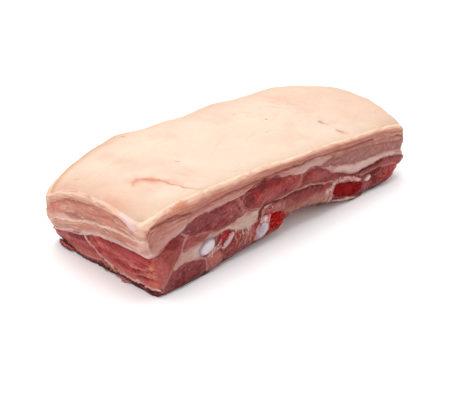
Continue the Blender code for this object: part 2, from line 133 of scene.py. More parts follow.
# The outer faces: their line in the plan, and their profile from the foot to the rind.
LEFT_OVERHANG, LEFT_OVERHANG_HEIGHT, LEFT_OVERHANG_POWER = 12.5, 52.0, 1.4
LEFT_ROUNDING = ((0, 0), (50, 0), (75, -1.2), (95, -1.2), (104, 0))
LEFT_EDGE_ROUNDING = ((0, 0), (0.9, -1.2), (0.96, -0.8), (1, 1.6))
RIGHT_PLAN = ((0, 238.5), (11, 239), (30, 242), (47, 246), (63, 247), (81, 245), (94, 238), (102, 229))
RIGHT_PROFILE = ((0, -6), (0.12, -2), (0.25, 0), (0.45, -2.5), (0.62, 0), (0.85, -0.5), (1, -3))
FRONT_PROFILE = ((0, 3), (0.06, 1.4), (0.18, 0.3), (0.5, 0), (0.9, -0.3), (0.96, 0), (1, 1.2))
BACK_PLAN = ((-14, 101.5), (15, 101), (38, 104), (56, 108), (77, 104.5), (110, 103.5), (155, 104.5),
             (200, 104), (225, 99), (240, 92))
BACK_PROFILE = ((0, -3), (0.25, 1), (0.5, 1.5), (0.8, 0.5), (0.94, -0.5), (1, -2.5))

# The two pale muscles in the middle fat: the fat left round them, their heights, and where they end inside.
MUSCLE_SKIN, MUSCLE_SKIN_INSIDE, MUSCLE_SKIN_DEPTH = 1.8, 4.4, 4.0
MOST_SKIN_SHARE = 0.3
NEAR_MUSCLE_FLOOR = ((-14, 5), (-7, 9), (1, 6.5), (16, 4.2), (30, 3.4), (50, 4.5), (70, 4.5))
NEAR_MUSCLE_FLOOR_DEPTH = 18.0
NEAR_MUSCLE_TIP = ((0, 44), (30, 62), (70, 70), (102, 58))
NEAR_MUSCLE_TAPER, FAR_MUSCLE_TAPER = 3, 4
FAR_MUSCLE_TOP = ((142, 40.5), (153, 42), (170, 41), (181, 40), (195, 38.4), (210, 36), (240, 29.5))
FAR_MUSCLE_FLOOR = ((142, 38.5), (150, 37), (161, 33), (171, 30.6), (182, 28.6), (199, 28), (211, 27.8),
                    (221, 25.5), (240, 20.8))
FAR_MUSCLE_TIP = 143.0
MUSCLE_EDGE = 1.2
MUSCLE_PROUD, POCKET_DEPTH, POCKET_EDGE = 0.25, 0.6, 0.6

# Ribs and cartilages in their order along the sawn face: the middle of the section, its half width and half
# height, its tilt in degrees, how square it is, how much of the slab's width it runs through, how strong the
# shrunk ring of flesh round it is, how ragged its outline is, and the shades of its end.
RIBS = {
    "rib_cartilage_1": {
        "centre": (39.0, 19.2), "half": (6.8, 4.5), "tilt": 20, "square": 2.2, "run": 0.62, "ring": 0.4,
        "ragged": 0.035, "shade": "bone cartilage",
    },
    # The next two are grown into their gristle: they lie flush, hardly rounded, and are bruised blue and red.
    "rib_cartilage_2": {
        "centre": (57.5, 17.2), "half": (6.2, 1.9), "tilt": 42, "square": 2.4, "run": 0.5, "ring": 0.1,
        "ragged": 0.11, "shade": "bone cartilage_warm", "grown_in": True, "blue": 0.35,
    },
    "rib_cartilage_3": {
        "centre": (88.0, 12.6), "half": (6.2, 5.2), "tilt": 35, "square": 2.4, "run": 0.7, "ring": 0.0,
        "ragged": 0.11, "shade": "bone cartilage", "grown_in": True, "blue": 1,
    },
    # Marrow: its brightness, how strong its light grains are, the noise they start at, and where beads begin.
    "rib_bone_3": {
        "centre": (102.2, 14.2), "half": (7.0, 6.5), "tilt": -15, "square": 2.6, "run": 1.0, "ring": 0.0,
        "ragged": 0.11, "red": 1, "light": 0.75, "light_from": 0.0, "beads_from": 0.25,
    },
    # The sawn end of this bone is squarer than its solid.
    "rib_bone_4": {
        "centre": (176.5, 10.6), "half": (17.0, 5.4), "tilt": -17, "square": 4.2, "run": 1.0, "ring": 0.1,
        "ragged": 0.11, "red": 0.8, "light": 0.4, "light_from": 0.3, "beads_from": 0.7,
    },
    "rib_cartilage_4": {
        "centre": (197.5, 12.2), "half": (3.6, 1.9), "tilt": 15, "square": 2.2, "run": 0.35, "ring": 0.1,
        "ragged": 0.035, "shade": "bone cartilage_warm",
    },
}
RIB_STANDS_OUT = 0.9
RIB_SEED = 120
# How deep a rib's end stands in its hollow, and how far its edge is rounded: plain, and grown in.
HOLLOW_DEPTH, HOLLOW_DEPTH_GROWN_IN = 1.2, 0.2
END_ROUNDING, END_ROUNDING_GROWN_IN = 0.9, 0.2
RING_AT, RING_WIDTH, RING_DEPTH = 1.08, 0.09, 0.7
# How dark the edge of a cartilage grown into its gristle is, and how dark and how smeared blood makes it.
EDGE_GROWN_IN, BLOODIED_TONE, SMEAR = 0.25, 0.9, 0.85
# Grain of the rib ends: size and seed, and for the beads how many octaves.
MARROW_GRAIN, MARROW_LUMPS = ((1.5, 1.0), 91), (2.6, 92)
MARROW_BEADS, MARROW_RIM = ((1.3, 1.0), 93, 2), (2.5, 94)
CARTILAGE_CLOUDS, CARTILAGE_PITS = (3.0, 95), (2.2, 96)
CARTILAGE_TEARS, CARTILAGE_BRUISES = ((1.6, 3.0), 97), (2.4, 98)
# How far the middle of a cartilage stands out, and the lumps, grain and beads of marrow.
CARTILAGE_CROWN, LUMPS_RISE, GRAIN_RISE, BEADS_RISE = 0.8, 0.35, 0.4, 0.3
# The bare membrane underneath: how dark it is, and the size and seed of its lumps.
UNDERSIDE_TONE, UNDERSIDE_LUMPS = 0.9, ((30.0, 7.0), 71)
# How moist the ribs, beads and shreds are.
WET, SHRED_WET = 0.9, 0.8

# The slab's upright corners are rounded by this much, over this distance, by the height.
CORNER_CUT = ((0, 1.2), (20, 1.4), (38, 2.8), (60, 3.4))
CORNER_REACH = ((0, 3.5), (20, 4), (38, 9), (60, 12))
FAR_CORNERS_SHARPER = 0.75
# How the rind follows the relief of its walls and rolls over at its edge.
LID_FADE = 5.0
FAR_EDGES_SHARPER, LEFT_EDGE_SHARPER, LEFT_EDGE_SHARE = 0.5, 0.3, 0.08
EDGE_UNEVEN, EDGE_WAVES = 0.25, (9.0, 81)
# How far from its edge the rind's top is drawn in with it, and its relief fades out.
EDGE_PULL, RELIEF_FADE = 8, 6
BACK_RIM_LIFT = ((-12, 0.4), (10, 1.2), (50, 1.8), (80, 0.8), (110, 1.8), (150, 1.8), (175, 0.4), (240, 0))
BACK_RIM_REACH, RIGHT_RIM_REACH = 30, 40
RIGHT_RIM_LIFT = ((0, 1.2), (8, 3), (24, 4), (38, 2.6), (56, 0.8), (104, 0.8))
# The rind's two left corners hang down: how far, and where that starts and is full, across and along.
CORNER_DROOPS = ((3.2, (50, 96), (34, -10)), (2.4, (20, 0), (24, LEFT_TOP)))
# The foot spreads on the board and is drawn in at the back of the left end, where soft layers sag outwards.
FOOT_SPREAD = ((0, 2.4), (2, 2.2), (6, 1), (11, 0))
BACK_FOOT_DRAWN_IN, BACK_FOOT_ALONG, BACK_FOOT_HEIGHT = 2.6, (70, 98), (9, 2)
SWELL, SWELL_ALONG, SWELL_HEIGHT, SWELL_REACH = 3.2, (45, 95), 20.0, 8.5

# How finely each piece is divided: faces along the slab and across it, rows down its walls, and how many of
# these columns share one face inside a lid or floor that is hidden.
WALL_COLUMNS = (500, 200)
RIND_COLUMNS = (360, 150)
MUSCLE_COLUMNS, MUSCLE_ROWS, MUSCLE_STEP = (190, 200), 22, 10
RIB_COLUMNS, RIB_ROWS = (44, 44), 24
SHRED_COLUMNS, SHRED_ROWS = (90, 3), 12
BEAD_SUBDIVISIONS = 3
SHEET_INSET = (0.008, 0.02)
HIDDEN_STEP = 20

# Each layer: the levels at its top and foot, the rows of faces down its walls, how far these bulge, how many
# columns share a face of its floor if that shows, its material and its slot.
LAYERS = {
    "rind_fat_cap": {"upper": TOP, "lower": RIND_FAT, "rows": 22, "bulge": 0.15, "floor": 30,
                     "finish": "scalded_pork_rind", "slot": "rind_and_fat"},
    "upper_lean_streak": {"upper": RIND_FAT, "lower": STREAK, "rows": 18, "bulge": 0.2,
                          "finish": "cut_streaky_lean", "slot": "lean_streak"},
    "middle_fat": {"upper": STREAK, "lower": LEAN_TOP, "rows": 26, "bulge": 0.4,
                   "finish": "sliced_back_fat", "slot": "belly_fat"},
    "main_lean": {"upper": LEAN_TOP, "lower": LEAN_BOTTOM, "rows": 44, "bulge": 0.8,
                  "finish": "cut_red_lean", "slot": "main_lean"},
    "rib_fat_seam": {"upper": LEAN_BOTTOM, "lower": SEAM, "rows": 16, "bulge": 0.0,
                     "finish": "sliced_seam_fat", "slot": "rib_fat"},
    "rib_meat": {"upper": SEAM, "lower": UNDERSIDE, "rows": 48, "bulge": 0.5, "floor": 10,
                 "finish": "cut_red_lean", "slot": "rib_meat"},
}
FAT_LAYERS = ("rind_fat_cap", "upper_lean_streak", "middle_fat")

# How marks are drawn, in millimetres. Their courses bend in waves of two sizes, and a patch that bulges has a
# shoulder. A patch with a crisp edge has a membrane round it and a darker line behind that, each by its
# strength, how far inside the edge it lies, and its width.
BEND, FINE_BEND = 5.0, 1.8
SHOULDER = 2.2
CRISP = 2.1
MEMBRANE, BEHIND_MEMBRANE = (0.5, -0.1, 0.45), (0.45, 1.1, 0.6)
# Noise that breaks membranes, and that varies the width and strength of lines: size and seed.
MEMBRANE_BREAKS, LINE_WIDTHS, LINE_BREAKS = (3.0, 15), (4.0, 31), (3.0, 32)
# Torn strands: width and length, and how far they stand out.
STRAND, STRAND_RISE, STRAND_SEED = (0.9, 5.0), 0.45, 33
# Thin lines along the fat: shade, strength, rise, and what their seed adds.
STRATA = (("fat seam", 0.42, -0.22, 0), ("fat lip", 0.35, 0.16, 5))

# Colours of the tissues, listed for each kind: a few shades of every tissue, used all over the slab.
SHADES = {
    "rind": {
        "cream": "fce2cd", "peach": "f6d0b9", "edge": "ecc7ab", "blush": "eb9c84", "orange": "d8825f",
        "brown": "ac7250", "tan": "dcae86",
    },
    "fat": {
        "lip": "f7d2ba", "fresh": "e4bba6", "pink": "d3a08d", "tan": "c88d7c", "ochre": "c07c68",
        "rosy": "b47d72", "dusky": "a56b63", "mauve": "b8958e", "white": "cbaba4", "membrane": "c49088",
        "gristle": "dcb5ae", "seam": "9c5a4e", "cream": "c5ab9f", "lavender": "dfc6c4",
    },
    # Lean shade is lean in painted shade, for creases, hollows and the foot; lean ridge is a painted
    # highlight.
    "lean": {
        "lean": "8a4140", "light": "98504c", "pink": "b06f68", "pale": "a66c61", "tan": "a27063",
        "grey": "874b4c", "dark": "782e2c", "deep": "74201f", "shade": "5b2926", "ridge": "d48478",
        "orange": "cf7462", "crimson": "a64445", "rose": "bf6a66", "wine": "6d2c2f", "mauve": "9b6860",
        "blood": "a5201f",
    },
    "bone": {
        "marrow": "990c0f", "marrow_dark": "5a0505", "marrow_light": "ca554e", "rim": "cf9c97",
        "cartilage": "d6c9ce", "cartilage_edge": "a8979c", "cartilage_warm": "d9b3ac",
        "cartilage_blue": "b4a2ab",
    },
}

# Shades down each layer from its top, evenly spaced, on the sawn faces and on the cut ends.
SAWN_SHADES = {
    "rind_fat_cap": ("fat lip", "fat fresh", "fat fresh", "fat pink", "fat tan", "fat tan", "fat ochre"),
    "upper_lean_streak": ("fat rosy", "fat dusky"),
    "middle_fat": ("fat dusky", "fat rosy", "fat rosy", "fat mauve"),
    "main_lean": ("lean lean", "lean lean", "lean light", "lean light"),
    "rib_fat_seam": ("fat mauve", "fat rosy"),
    # The rib meat ends in lean shade at its foot: painted shade near the board and under the arch.
    "rib_meat": ("lean lean", "lean lean", "lean light", "lean grey", "lean shade"),
}
END_SHADES = {
    "rind_fat_cap": ("fat fresh", "fat fresh", "fat pink", "fat pink", "fat tan"),
    "upper_lean_streak": ("fat ochre", "fat tan", "fat tan", "fat ochre", "fat rosy"),
    "middle_fat": ("fat membrane", "fat ochre", "fat ochre", "fat rosy", "fat membrane", "fat gristle"),
    # The cut end's lean is lighter and redder than the sawn face's: partly its own colour, partly painted
    # light.
    "main_lean": ("lean crimson", "lean crimson", "lean rose", "lean crimson", "lean crimson", "lean rose"),
    "rib_fat_seam": ("fat membrane", "lean pink"),
    # The rib meat ends in lean shade at its foot: painted shade near the board.
    "rib_meat": ("lean grey", "lean shade"),
}

# Tissues that stand out from their layer on the sawn front face: shade, softness of the edge, how strongly
# they cover, how far they bulge, and their outline.
SAWN_PATCHES = (
    ("fat white", 10, 0.6, 0.2, ((112, 43), (122, 45.5), (140, 46.5), (152, 43.5), (146, 39), (126, 40.5))),
    ("lean light", 2, 0.7, 0.7,
     ((-7, 28), (-1, 32), (4, 36), (10, 36.5), (18, 34), (20, 32), (16, 23), (9, 16.5), (3, 9), (-2, 3))),
    ("lean dark", 2.5, 0.8, 0, ((3, 33), (8, 36.5), (14, 35), (16, 31), (10, 29), (5, 30))),
    ("fat mauve", 1.4, 0.95, 0.3,
     ((10, 17), (17, 24), (26, 23.5), (33, 25), (40, 28), (47, 27), (44, 24.5), (38, 25), (33, 21),
      (33, 15), (26, 15), (19, 17), (12, 15))),
    ("fat white", 2, 0.8, 0.1, ((27, 21.5), (33, 23.5), (35, 18), (32, 15.5), (27, 16))),
    ("lean grey", 1.2, 0.95, 1.3,
     ((17, 37), (22, 42), (28, 44), (48, 44.5), (57, 45), (63, 44), (66, 39.5), (69, 34), (70, 30),
      (62, 27.5), (50, 27.5), (40, 30), (32, 32), (22, 34.5))),
    ("lean lean", 3, 0.8, 0.2,
     ((24, 34.5), (42, 32), (50, 29.5), (62, 29.5), (60, 33), (50, 34), (30, 36.5))),
    ("lean light", 3, 0.7, 0.2, ((52, 43), (60, 44), (64, 42), (68, 35), (66, 31), (58, 33), (54, 37))),
    ("lean dark", 1.4, 0.7, -0.2, ((61, 43), (64.5, 43), (67, 37), (69, 33), (67, 33), (63.5, 37))),
    ("lean light", 1.6, 0.85, 0.5,
     ((20, 32), (26, 32), (34, 30.5), (41, 28), (36, 24.5), (27, 23.5), (19, 24))),
    ("lean pale", 1.6, 0.8, 0, ((20, 26), (28, 26.5), (33, 26), (30, 24.5), (21, 24))),
    ("lean grey", 1.4, 0.9, 0.9,
     ((1, 2), (3, 8), (6, 12.5), (12, 14.5), (19, 16.5), (26, 15), (33, 13.5), (36, 11), (36, 5), (30, 1.5),
      (19, 0.5), (8, 0.5))),
    # Painted shade low on the muscle, near the board.
    ("lean shade", 3, 0.5, 0, ((6, 5), (16, 7), (28, 5.5), (35, 4.5), (30, 1), (12, 1))),
    ("lean pink", 1.4, 0.85, 0.9, ((38, 11), (42, 13.5), (48, 13), (52, 8), (51, 4), (45, 2), (39.5, 3))),
    ("lean dark", 1.4, 0.9, -0.5,
     ((43, 24.5), (49, 24), (55, 25), (59, 24.5), (56, 19), (51, 15.5), (47, 14.5))),
    ("lean light", 1.6, 0.8, 0, ((48, 20.5), (52, 21), (55, 18.5), (52, 15.5), (49, 16))),
    ("fat cream", 1.8, 0.95, 0.5,
     ((50, 26), (62, 27.5), (72, 31), (86, 28), (85, 21.5), (77, 19), (70, 20.5), (63, 22.5))),
    ("lean dark", 1.2, 0.9, -0.5, ((84, 27.5), (87, 29), (89, 27), (88.5, 23), (86.5, 20.5), (84.5, 21))),
    ("lean lean", 2, 0.85, 0.4, ((60, 20.5), (70, 19.5), (78, 18), (81, 13), (81, 8), (62, 8), (58, 12))),
    ("lean dark", 1.6, 0.7, -0.3, ((64, 17.5), (67, 18.5), (69, 14), (67, 10), (64.5, 12))),
    ("lean pink", 1.6, 0.7, 0.3, ((71, 17), (76, 17), (79, 12.5), (77, 10), (72, 12.5))),
    ("lean grey", 2, 0.85, 0.4, ((54, 9), (62, 9.5), (72, 7.5), (79, 6.5), (78, 4), (66, 3.5), (56, 4))),
    ("lean lean", 1.2, 0.95, 1,
     ((70.5, 34), (68.5, 40.5), (72, 45.5), (89, 47.5), (98, 46.5), (108, 44.5), (123, 40.5), (126, 36),
      (117, 31.5), (101, 30), (95, 29), (86, 29.5), (78, 31))),
    # Deep red lean, darkened at the top of the sunken muscle by painted shade under the fat band.
    ("lean deep", 2.2, 0.9, -0.6,
     ((72, 41), (76, 46), (89, 47.5), (98, 47), (106, 45), (103, 41.5), (92, 42.5), (84, 41.5),
      (77, 38.5))),
    ("lean deep", 2, 0.8, -0.3, ((71, 43), (76, 44), (80.5, 39), (79.5, 34.5), (75, 33.5), (70.5, 37))),
    ("lean blood", 2, 0.5, 0, ((78, 43.5), (81.5, 43.5), (83, 39), (81, 35), (79, 36), (80, 40))),
    ("lean light", 3, 0.75, 0.5, ((86, 39), (94, 40), (103, 39.5), (104, 34), (96, 31), (87, 31.5))),
    ("lean light", 3, 0.5, 0.2, ((107, 43), (117, 42), (124, 40), (124, 36), (118, 32.5), (105, 37))),
    ("lean lean", 1.2, 0.95, 1.5,
     ((125.5, 30.5), (126, 36), (129, 39.5), (134, 41), (142, 39.5), (151, 35.5), (157, 30), (171, 24.5),
      (166, 22.5), (151, 25.5), (132, 30))),
    ("lean light", 3, 0.8, 0.2, ((131, 36), (136, 38), (143, 36), (149, 31.5), (144, 29.5), (134, 31))),
    ("lean dark", 2.4, 0.75, -0.5,
     ((106, 27.5), (115, 28), (130, 28), (144, 25.5), (150, 22), (146, 18), (134, 20), (122, 22),
      (110, 21))),
    ("lean deep", 2, 0.8, -0.3, ((113, 23), (119, 23.5), (124, 21.5), (121, 18.5), (114, 19.5))),
    ("lean light", 2.6, 0.85, 0.6,
     ((128, 21), (140, 21.5), (156, 20.5), (160, 13), (158, 8), (148, 9), (136, 12))),
    ("lean tan", 2.4, 0.75, 0.3, ((138, 16), (146, 17.5), (157, 14), (157, 9), (147, 9.5), (139, 12))),
    ("lean lean", 2.4, 0.85, 0.6, ((112, 17.5), (122, 18), (132, 15), (130, 12), (118, 12.5), (110, 14))),
    # Painted shade along the foot, over the arch.
    ("lean shade", 1.6, 0.8, -0.4,
     ((106, 11), (118, 12.5), (131, 13), (146, 10.5), (158, 7.5), (156, 5), (140, 8.5), (124, 11),
      (110, 9))),
    ("lean pink", 1.4, 0.8, 0.3, ((157, 15), (158, 19), (162, 22.5), (168, 21.5), (163, 18), (160.5, 10))),
    ("lean mauve", 1.2, 0.95, 0.5,
     ((143, 39.5), (147, 41), (153, 42), (170, 41), (195, 38.5), (210, 36), (226, 32.5), (242, 29.5),
      (242, 21), (226, 24), (211, 28), (195, 27.5), (182, 29.5), (161, 33.5), (150, 37))),
    ("fat white", 1.2, 0.95, 0.5,
     ((158, 29.5), (163, 32.5), (171, 30.5), (183, 28), (199, 27.5), (220, 24), (226, 22), (214, 23.5),
      (200, 22), (186, 21.5), (176, 24.5), (168, 27))),
    ("lean grey", 1.2, 0.8, 0.8,
     ((183, 19.5), (199, 21), (214, 22.5), (226, 21.5), (238, 17.5), (240, 13.5), (232, 11.5), (222, 16),
      (204, 17), (192, 17))),
    ("lean lean", 1.4, 0.8, 0.9,
     ((202, 13.5), (212, 15), (222, 14), (232, 10.5), (234, 7), (227, 1.5), (216, 1.5), (204, 4.5))),
    # Painted shade in a hollow.
    ("lean shade", 2.4, 0.6, -0.2, ((200, 14), (207, 15), (209, 9), (206, 5), (200, 6.5))),
    ("lean pink", 3, 0.6, 0.3, ((228, 17), (238, 16.5), (242, 12), (238, 8), (230, 8.5), (226, 12))),
    ("fat rosy", 1.4, 0.85, 0.5,
     ((164, 6), (172, 5.5), (182, 2.5), (192, 0.5), (198, 1.5), (184, -1), (172, 2.5))),
    ("lean tan", 3, 0.75, 0.4,
     ((88, 25.5), (92, 27.5), (106, 27), (122, 23), (140, 20), (157, 16), (158, 9), (136, 13.5),
      (114, 15.5), (110, 19), (96, 23.5))),
    ("bone marrow", 1, 0.95, 0.5,
     ((94.5, 23), (100, 20.5), (108.5, 18.5), (110.5, 15), (108.5, 10.5), (103.5, 8), (96, 5), (94, 9),
      (96.5, 15.5))),
    ("bone cartilage", 1.4, 0.85, 0.4,
     ((88, 21.5), (91.5, 22), (95.5, 20), (95, 15), (93.5, 10), (89, 8), (83, 10), (85, 16))),
    ("bone cartilage_blue", 1.6, 0.85, 0.3, ((84, 13), (92, 12), (92.5, 8), (88, 5), (83, 6), (80, 10))),
    ("bone cartilage_blue", 1.6, 0.6, 0.3, ((88, 19), (92, 18.5), (93.5, 14), (90, 14), (87, 16))),
    ("lean dark", 1.6, 0.85, -0.4, ((47.5, 22.5), (51, 24.5), (53, 22), (50.5, 18), (47.5, 17.5))),
    ("lean blood", 1.6, 0.9, -0.3,
     ((52.5, 24.5), (56, 25), (61, 22.5), (57.5, 19.5), (54.5, 16), (52, 14.5), (51, 18))),
    ("lean crimson", 2.4, 0.55, 0.5,
     ((214, 17), (226, 19), (238, 14), (241, 8), (236, 2), (224, 1), (216, 6))),
    ("lean deep", 1.8, 0.7, -0.4, ((198, 18), (208, 18.5), (214, 15), (210, 12), (200, 13))),
    ("lean crimson", 3, 0.35, 0.3, ((92, 46), (108, 43), (122, 39), (122, 34), (106, 35), (92, 40))),
    ("fat gristle", 1.4, 0.85, 0.6,
     ((158, 17.5), (160, 22.5), (166, 22), (172, 22.5), (180, 18.5), (190, 14), (186, 12), (176, 16.5),
      (166, 18.5))),
    ("rind orange", 2, 0.6, 0, ((8, 58.5), (16, 59), (23, 57.5), (20, 55.5), (12, 55.5))),
    ("lean lean", 3, 0.75, 0.2, ((106, 26), (116, 27), (136, 25), (141, 21), (130, 18.5), (112, 20))),
    # Rosier lean along the near corner: partly its own colour, partly painted light on the rounded corner.
    ("lean rose", 3, 0.5, 0.2, ((-6, 29), (0, 28), (4, 22), (5, 14), (2, 6), (-3, 6))),
    ("fat lip", 3, 0.8, 0.2, ((-16, 62), (-16, 51), (-9, 50), (-4, 53), (3, 57), (6, 62))),
)

# Membranes, gristle and creases on the sawn face: shade, width, how strongly they cover, height, and course.
# Lines in lean shade are painted shade in creases and under overhanging muscle.
SAWN_LINES = (
    ("fat seam", 1.6, 0.9, -0.5, ((-7, 49.5), (2, 50.5), (13, 51), (19, 49.5), (26, 48.5))),
    ("fat seam", 1.6, 0.5, -0.1, ((-10, 46), (2, 46.5), (14, 45.5), (24, 46.5))),
    ("fat ochre", 1.2, 0.5, -0.1, ((4, 55), (16, 54.5), (30, 52.5), (44, 53))),
    ("fat seam", 1.5, 0.75, -0.4, ((46, 49.5), (68, 50), (92, 49), (106, 48.5), (129, 47))),
    ("fat ochre", 1.2, 0.6, -0.2, ((100, 52.5), (130, 50), (150, 48), (180, 45.5), (210, 42.5), (236, 37))),
    ("fat seam", 1.3, 0.85, -0.4, ((115, 48), (140, 47.5), (167, 44), (182, 43), (210, 40.5), (238, 32.5))),
    ("fat membrane", 2.2, 0.6, 0.2,
     ((-4, 38.5), (4, 37.5), (10, 40), (18, 44), (28, 46), (40, 45.5), (66, 46.5))),
    ("fat membrane", 1.6, 0.8, 0.4, ((-6, 29.5), (-1, 33), (4, 36.5), (8, 37.5))),
    ("fat mauve", 1.4, 0.9, 0.3, ((17, 37), (21, 34.5), (20, 32.5), (17.5, 28), (16.5, 24), (14, 20.5))),
    ("lean pink", 1, 0.6, 0, ((20, 33), (28, 32), (36, 30.5), (42, 29))),
    ("fat rosy", 2.2, 0.85, 0.4, ((16, 22), (12, 18.5), (8, 15), (4, 11), (1, 5.5))),
    ("fat mauve", 1, 0.8, 0.2, ((12, 15), (19, 17), (27, 15), (34, 13.5), (37, 11.5))),
    ("fat membrane", 1, 0.85, 0.4, ((37, 12.5), (38, 8), (37.5, 3.5))),
    ("fat gristle", 1.3, 0.95, 0.5, ((39, 12.5), (42, 13), (46, 15), (49, 17), (51, 19))),
    ("fat mauve", 1.6, 0.7, 0.3, ((44, 12.5), (47, 14), (50, 14.5), (53, 13))),
    ("fat rosy", 1.1, 0.7, 0.2, ((43, 26.5), (50, 26.5), (57, 27.5), (66, 28))),
    ("lean pink", 1.6, 0.85, 0.3, ((66.5, 43.5), (67.5, 39.5), (69.5, 35.5), (74.5, 30.5))),
    ("fat rosy", 1.6, 0.6, 0.3, ((72, 31.5), (80, 31), (86, 30))),
    # Painted shade in the crease under the overhanging muscle.
    ("lean shade", 1.3, 0.95, -0.9, ((85, 21), (87.5, 27.5), (95, 28.5), (104, 28.5), (110, 28.5))),
    # Painted shade along the top of the sunken muscle, under the fat band.
    ("lean deep", 1.2, 0.8, -0.5, ((74, 45), (80, 47.5), (92, 48), (104, 46.5))),
    ("fat rosy", 1.5, 0.85, 0.3, ((124.5, 41), (125, 36.5), (123, 33), (118.5, 31))),
    ("lean dark", 0.9, 0.7, -0.4, ((127, 38.5), (130, 40.5), (134, 42), (139, 41), (145, 39))),
    ("fat membrane", 1.1, 0.95, 0.9,
     ((106, 29), (112, 30.5), (119, 29.5), (132, 29.5), (141, 27), (160, 23.5))),
    # Painted shade in a crevice.
    ("lean shade", 1.2, 0.8, -0.8, ((110, 28), (119, 28), (126, 28), (138, 26.5), (149, 23.5))),
    ("fat rosy", 1.4, 0.7, 0.3, ((86, 8), (89, 5.5), (94, 5), (102, 6.5), (107, 9))),
    ("lean pink", 1.2, 0.7, 0.2, ((93.5, 8), (94.5, 14), (93.5, 19), (95, 22.5), (101, 22), (107, 19.5))),
    # Painted shade in creases.
    ("lean shade", 1.2, 0.85, -0.6, ((183, 19), (192, 20.5), (200, 20.5), (212, 22))),
    ("fat rosy", 1, 0.85, 0.6, ((189, 16.5), (204, 17), (213, 16.5), (223, 15.5), (234, 11.5))),
    ("lean pink", 0.9, 0.7, 0.4, ((221, 15.5), (219, 12.5), (216, 9))),
    ("lean shade", 0.9, 0.7, -0.4, ((196, 15), (203, 14.5), (212, 15.5))),
    ("fat fresh", 1.4, 0.5, 0, ((203, 41), (220, 38.5), (238, 35))),
    ("lean deep", 1.3, 0.9, -0.7, ((160, 20), (166, 19.5), (174, 18), (182, 14.5), (188, 10.5))),
    ("lean dark", 1.1, 0.8, -0.5, ((160, 23.5), (170, 23.5), (180, 20.5), (190, 16))),
    ("fat gristle", 1.3, 0.9, 0.5, ((160, 7.5), (168, 5), (177, 3), (187, 0.5), (195, 1))),
    ("fat membrane", 1.3, 0.8, 0.4, ((157.5, 10), (157.5, 15), (159, 19.5), (163, 22.5))),
)

# Torn strands on the sawn face: shade, angle, how strongly they cover, and the outline they lie in.
SAWN_STREAKS = (
    ("fat ochre", 25, 0.5, ((52, 27), (64, 28), (74, 31), (84, 27), (82, 21), (70, 22))),
    ("fat seam", 8, 0.45, ((46, 28), (60, 29), (72, 33), (84, 29), (80, 27), (62, 25))),
    ("lean dark", 30, 0.35, ((18, 36), (30, 42), (56, 44), (68, 40), (68, 32), (50, 29), (30, 33))),
    ("lean dark", 25, 0.35, ((3, 8), (16, 15), (34, 13), (34, 4), (16, 2), (6, 3))),
    ("fat cream", 72, 0.85, ((63, 24), (72, 23), (80, 21), (82, 15), (74, 14), (62, 18))),
    ("lean blood", 80, 0.8, ((60, 21), (72, 20), (82, 18), (84, 10), (76, 7), (62, 10), (58, 15))),
    ("lean tan", 70, 0.7, ((62, 16), (80, 14), (80, 7), (68, 8), (60, 11))),
    ("fat gristle", 78, 0.55, ((62, 20), (80, 18), (84, 10), (76, 7), (62, 10))),
    ("lean blood", 60, 0.7, ((80, 26), (92, 25), (96, 20), (88, 20), (82, 12), (78, 20))),
    ("lean pink", 75, 0.7, ((88, 28), (98, 27), (112, 25), (112, 18), (98, 21), (90, 22))),
    ("fat cream", 82, 0.6, ((112, 17), (134, 15), (158, 12), (158, 6), (136, 9), (114, 12))),
    ("fat gristle", 65, 0.8, ((150, 19), (158, 20), (160, 12), (157, 7), (150, 9))),
    ("lean orange", 60, 0.7, ((148, 18), (157, 20), (158, 13), (150, 12))),
    ("lean blood", 20, 0.35, ((92, 42), (112, 42), (118, 36), (108, 32), (96, 36))),
    ("lean rose", 35, 0.8, ((78, 41), (92, 41), (100, 36), (96, 32), (82, 33))),
    ("lean rose", 15, 0.7, ((204, 13), (222, 13), (234, 9), (232, 3), (210, 4))),
    ("lean blood", 10, 0.4, ((200, 12), (218, 11), (230, 6), (216, 3), (204, 6))),
    ("lean pink", 30, 0.55, ((40, 10), (50, 12), (52, 5), (44, 3))),
    ("lean rose", 62, 0.75, ((83, 21), (96, 22), (96, 11), (92, 4), (82, 4), (79, 11))),
)

# Beads of gristle and torn fat that stand out of the sawn face: shade, how many, how wide, and their course.
BEADS = (
    ("bone rim", 13, 2.2, ((165, 21.5), (171.5, 20.5), (178, 19), (185, 15.5), (191, 10.5))),
    ("fat gristle", 6, 1.4, ((84, 27.5), (88, 29.5), (93, 27.5), (97, 26.5))),
    ("lean rose", 12, 1.8, ((88, 24.5), (93, 25), (99, 24.5), (106, 22.5))),
    ("fat gristle", 6, 1.3, ((60.5, 23.5), (58, 19), (54, 14.5), (51, 13))),
    ("fat fresh", 7, 1.8, ((151, 15), (155, 17), (158, 18), (160, 21))),
    ("fat gristle", 6, 1.2, ((41, 11.5), (44.5, 13.5), (48.5, 16.5))),
)

# How much longer and thinner a bead is than its width, how deep it is, and how far it stands out.
BEAD_LONG, BEAD_THIN, BEAD_DEEP, BEAD_STANDS_OUT = 1.5, 0.8, 0.7, 0.5
# How far beads stray from their course, by their width, and the ranges of their sizes and turns.
BEAD_STRAY, BEAD_SIZES, BEAD_TURNS = 0.35, (0.55, 1.15), (-1.2, 0.9)
BEAD_CLOUDS, BEAD_STRING_SEED, BEAD_SEED, BEAD_CLOUD_SEED = 1.4, 200, 210, 220

